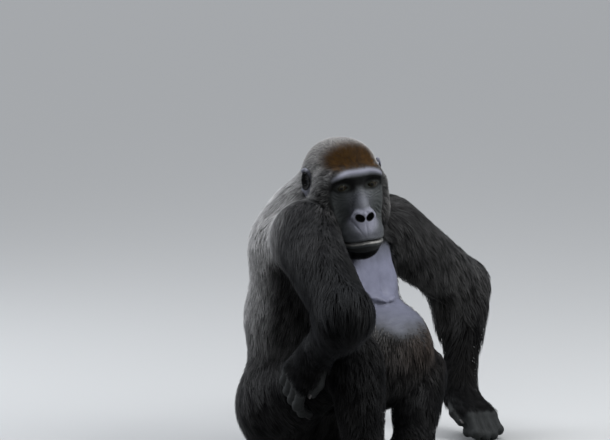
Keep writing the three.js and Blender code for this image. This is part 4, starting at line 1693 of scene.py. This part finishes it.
def skin_material():
    made, tree, shader = material("skin")
    bare = stored(tree, "bare")
    fine = add(tree, "ShaderNodeGroup", node_tree=HIDE_GRAIN, inputs={"Size": 950.0})
    coarse = add(tree, "ShaderNodeGroup", node_tree=HIDE_GRAIN, inputs={"Size": 430.0})
    face = mixed(tree, fine.outputs["Mottle"], FACE_DARK, FACE_LIGHT)
    # Painted highlights on the face and ears.
    face = mixed(tree, reckon(tree, "MULTIPLY", stored(tree, "pale"), 0.85), face, FACE_PAINTED_HIGHLIGHT)
    # Painted shade in the hollows of face and ears, and the own black of hands and feet.
    face = mixed(tree, stored(tree, "deep"), face, BLACK_AND_PAINTED_SHADE)
    # The chest's pale grey is painted sheen over dark skin.
    chest = mixed(tree, coarse.outputs["Mottle"], CHEST_PAINTED_SHEEN_DARK, CHEST_PAINTED_SHEEN_LIGHT)
    naked = mixed(tree, stored(tree, "chest"), face, chest)
    naked = mixed(tree, reckon(tree, "MULTIPLY", stored(tree, "lids"), 0.4), naked, LID)
    naked = mixed(tree, reckon(tree, "MULTIPLY", stored(tree, "lips"), fine.outputs["Mottle"]), naked, LIP)
    under_hair = with_coat_tones(tree, 0.35, 0.4)
    wire(tree, (mixed(tree, bare, under_hair, naked), shader.inputs["Base Color"]))
    roughness = add(tree, "ShaderNodeMapRange", inputs={"To Min": 0.85, "To Max": 0.42})
    rough = reckon(tree, "MULTIPLY_ADD", stored(tree, "deep"), 0.4, roughness.outputs[0])
    wire(tree, (bare, roughness.inputs["Value"]), (rough, shader.inputs["Roughness"]))
    shader.inputs["Specular IOR Level"].default_value = 0.12
    where = add(tree, "ShaderNodeTexCoord").outputs["Object"]
    stretched = add(tree, "ShaderNodeMapping")
    stretched.inputs["Scale"].default_value = (520, 520, 90)
    streaks = add(tree, "ShaderNodeTexNoise", inputs={"Scale": 1.0, "Detail": 3.0})
    wire(tree, (where, stretched.inputs["Vector"]), (stretched.outputs[0], streaks.inputs["Vector"]))
    leather = add(tree, "ShaderNodeMix", data_type="FLOAT")
    wire(tree, (stored(tree, "chest"), leather.inputs[0]), (fine.outputs["Height"], leather.inputs[2]),
         (coarse.outputs["Height"], leather.inputs[3]))
    height = add(tree, "ShaderNodeMix", data_type="FLOAT")
    wire(tree, (bare, height.inputs[0]), (streaks.outputs["Fac"], height.inputs[2]),
         (leather.outputs[0], height.inputs[3]))
    bump = add(tree, "ShaderNodeBump", inputs={"Strength": 0.3, "Distance": 0.0010})
    wire(tree, (height.outputs[0], bump.inputs["Height"]), (bump.outputs[0], shader.inputs["Normal"]))
    return made


skin.data.materials.append(skin_material())
print("skin material has", len(skin.data.materials[0].node_tree.nodes), "nodes")

# %% [markdown]
# ### Eyes
# The rings of the eye follow the cosine of the angle from its gaze, which is simply the height along Z in the
# eye's own frame: pupil, dark brown iris with fine spokes, a black ring, and a brown white. A thin clear coat
# wets it.
# %% Eye material


def eye_material():
    made, tree, shader = material("eye")
    where = add(tree, "ShaderNodeTexCoord").outputs["Object"]
    straight = add(tree, "ShaderNodeVectorMath", operation="NORMALIZE")
    parts = add(tree, "ShaderNodeSeparateXYZ")
    wire(tree, (where, straight.inputs[0]), (straight.outputs[0], parts.inputs[0]))
    rings = add(tree, "ShaderNodeValToRGB")
    spokes = add(tree, "ShaderNodeTexNoise", inputs={"Scale": 900.0, "Detail": 3.0})
    wire(tree, (where, spokes.inputs["Vector"]))
    wobble = reckon(tree, "MULTIPLY_ADD", spokes.outputs["Fac"], 0.012, -0.006)
    cosine = reckon(tree, "ADD", parts.outputs["Z"], wobble)
    wire(tree, (cosine, rings.inputs[0]), (rings.outputs[0], shader.inputs["Base Color"]))
    stops = [
        (0.0, (0.012, 0.010, 0.008, 1)),
        (math.cos(IRIS * 1.25), (0.016, 0.013, 0.010, 1)),
        (math.cos(IRIS * 1.05), (0.003, 0.002, 0.002, 1)),
        (math.cos(IRIS * 0.9), (0.014, 0.012, 0.007, 1)),
        (math.cos(IRIS * 0.6), (0.026, 0.023, 0.013, 1)),
        (math.cos(IRIS * 0.48), (0.002, 0.002, 0.002, 1)),
    ]
    ramp = rings.color_ramp
    ramp.elements[0].position, ramp.elements[0].color = stops[0]
    ramp.elements[1].position, ramp.elements[1].color = stops[-1]
    for position, colour in stops[1:-1]:
        ramp.elements.new(position).color = colour
    shader.inputs["Roughness"].default_value = 0.3
    shader.inputs["Specular IOR Level"].default_value = 0.06
    shader.inputs["Coat Weight"].default_value = 0.1
    shader.inputs["Coat Roughness"].default_value = 0.06
    return made


EYE_FINISH = eye_material()
for eye in eyes:
    eye.data.materials.append(EYE_FINISH)
print("eyes are finished")

# %% [markdown]
# ### Nails
# Nails are dark horn: smooth, half glossy and faintly mottled.
# %% Nail material


def nail_material():
    made, tree, shader = material("nail")
    grain = add(tree, "ShaderNodeGroup", node_tree=HIDE_GRAIN, inputs={"Size": 900.0})
    horn = mixed(tree, grain.outputs["Mottle"], (0.016, 0.014, 0.014, 1), (0.052, 0.046, 0.044, 1))
    bump = add(tree, "ShaderNodeBump", inputs={"Strength": 0.15, "Distance": 0.0004})
    wire(tree, (horn, shader.inputs["Base Color"]), (grain.outputs["Height"], bump.inputs["Height"]),
         (bump.outputs[0], shader.inputs["Normal"]))
    shader.inputs["Roughness"].default_value = 0.34
    return made


NAIL_FINISH = nail_material()
for plate in nails:
    plate.data.materials.append(NAIL_FINISH)
print("nails are finished")

# %% [markdown]
# ## Onto the frame
# Nothing on this animal moves, so every piece rides on the root. The skin stands for all the flesh, and each
# eye for its own solid.
# %% Ride and replace
for piece in (skin, *coats, *eyes, *nails):
    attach(piece, "root")
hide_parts(*[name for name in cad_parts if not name.startswith("eye_")])
for eye, side in zip(eyes, SIDES):
    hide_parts("eye_" + side)

# %% [markdown]
# ## Floor, light and camera
# The floor is plain and pale. A wide soft sun stands overhead, a little behind the animal, as under a cloudy
# sky, so backs and brows are lit and the undersides stay dark. A lamp in front opens the face and chest, a
# weaker one fills the near side, and one behind draws the edge of the back. The camera stands seven metres
# off, rather above the head, to the front and right of the animal.
# %% Studio
floor = piece_from("floor", np.array([(-1, -1, 0), (1, -1, 0), (1, 1, 0), (-1, 1, 0)]) * 40.0, [(0, 1, 2, 3)])
floor_finish, floor_tree, floor_shader = material("floor")
cloudy = add(floor_tree, "ShaderNodeTexNoise", inputs={"Scale": 1.5, "Detail": 3.0})
# The floor's own even pale grey.
pale = mixed(floor_tree, cloudy.outputs["Fac"], (0.225, 0.225, 0.222, 1), (0.255, 0.255, 0.252, 1))
wire(floor_tree, (pale, floor_shader.inputs["Base Color"]))
floor_shader.inputs["Roughness"].default_value = 0.9
floor.data.materials.append(floor_finish)
floor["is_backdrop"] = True

world = bpy.data.worlds.new("studio")
bpy.context.scene.world = world
world.use_nodes = True
sky = world.node_tree.nodes["Background"]
sky.inputs["Color"].default_value = (0.80, 0.86, 0.95, 1)
sky.inputs["Strength"].default_value = 0.16


def lamp(name, where, aim, size, power, colour=(1, 1, 1)):
    """A square soft lamp."""
    light = bpy.data.lights.new(name, "AREA")
    light.size = size
    light.energy = power
    light.color = colour
    obj = bpy.data.objects.new(name, light)
    obj.location = where
    obj.rotation_euler = (Vector(where) - Vector(aim)).to_track_quat("Z", "Y").to_euler()
    bpy.context.scene.collection.objects.link(obj)
    return obj


middle = place(0, 0, 350)
daylight = bpy.data.lights.new("daylight", "SUN")
daylight.energy = 4.6
daylight.angle = math.radians(50)
daylight.color = (0.92, 0.95, 1.0)
sun = bpy.data.objects.new("daylight", daylight)
sun.rotation_euler = Vector((0.09, 0.31, 1.0)).to_track_quat("Z", "Y").to_euler()
bpy.context.scene.collection.objects.link(sun)
lamp("front", middle + way(700, 2000, 1900), middle, 1.6, 120, (0.96, 0.98, 1.0))
lamp("fill", middle + way(-1700, 1500, 700), middle, 1.8, 15, (0.95, 0.98, 1.0))
lamp("rim", middle + way(-500, -2300, 1500), middle, 1.4, 75, (0.90, 0.94, 1.0))

VIEW_WIDTH, VIEW_DISTANCE, SENSOR = 1.342, 7.0, 36.0
VIEW_SIDE, VIEW_RISE = math.radians(55), math.radians(8)
toward = Vector((-math.sin(VIEW_SIDE) * math.cos(VIEW_RISE), -math.cos(VIEW_SIDE) * math.cos(VIEW_RISE),
                 math.sin(VIEW_RISE)))
camera = bpy.data.objects.new("camera", bpy.data.cameras.new("camera"))
camera.location = Vector(place(42.8, -64.9, 514.6)) + toward * VIEW_DISTANCE
camera.rotation_euler = toward.to_track_quat("Z", "Y").to_euler()
camera.data.sensor_width = SENSOR
camera.data.lens = SENSOR * VIEW_DISTANCE / VIEW_WIDTH
camera.data.clip_end = 200
bpy.context.scene.collection.objects.link(camera)
bpy.context.scene.camera = camera
bpy.context.scene.view_settings.view_transform = "Standard"
print("the camera stands", round(camera.location.z, 2), "m above the floor")

# %% [markdown]
# The looks have to fill the same space as the solids, so both boxes are written down side by side. A box only
# tells about the outermost places, and not how skin and solids lie to each other elsewhere.
# %% Finish
low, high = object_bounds()
print("the looks run from", [round(v, 3) for v in low], "to", [round(v, 3) for v in high])
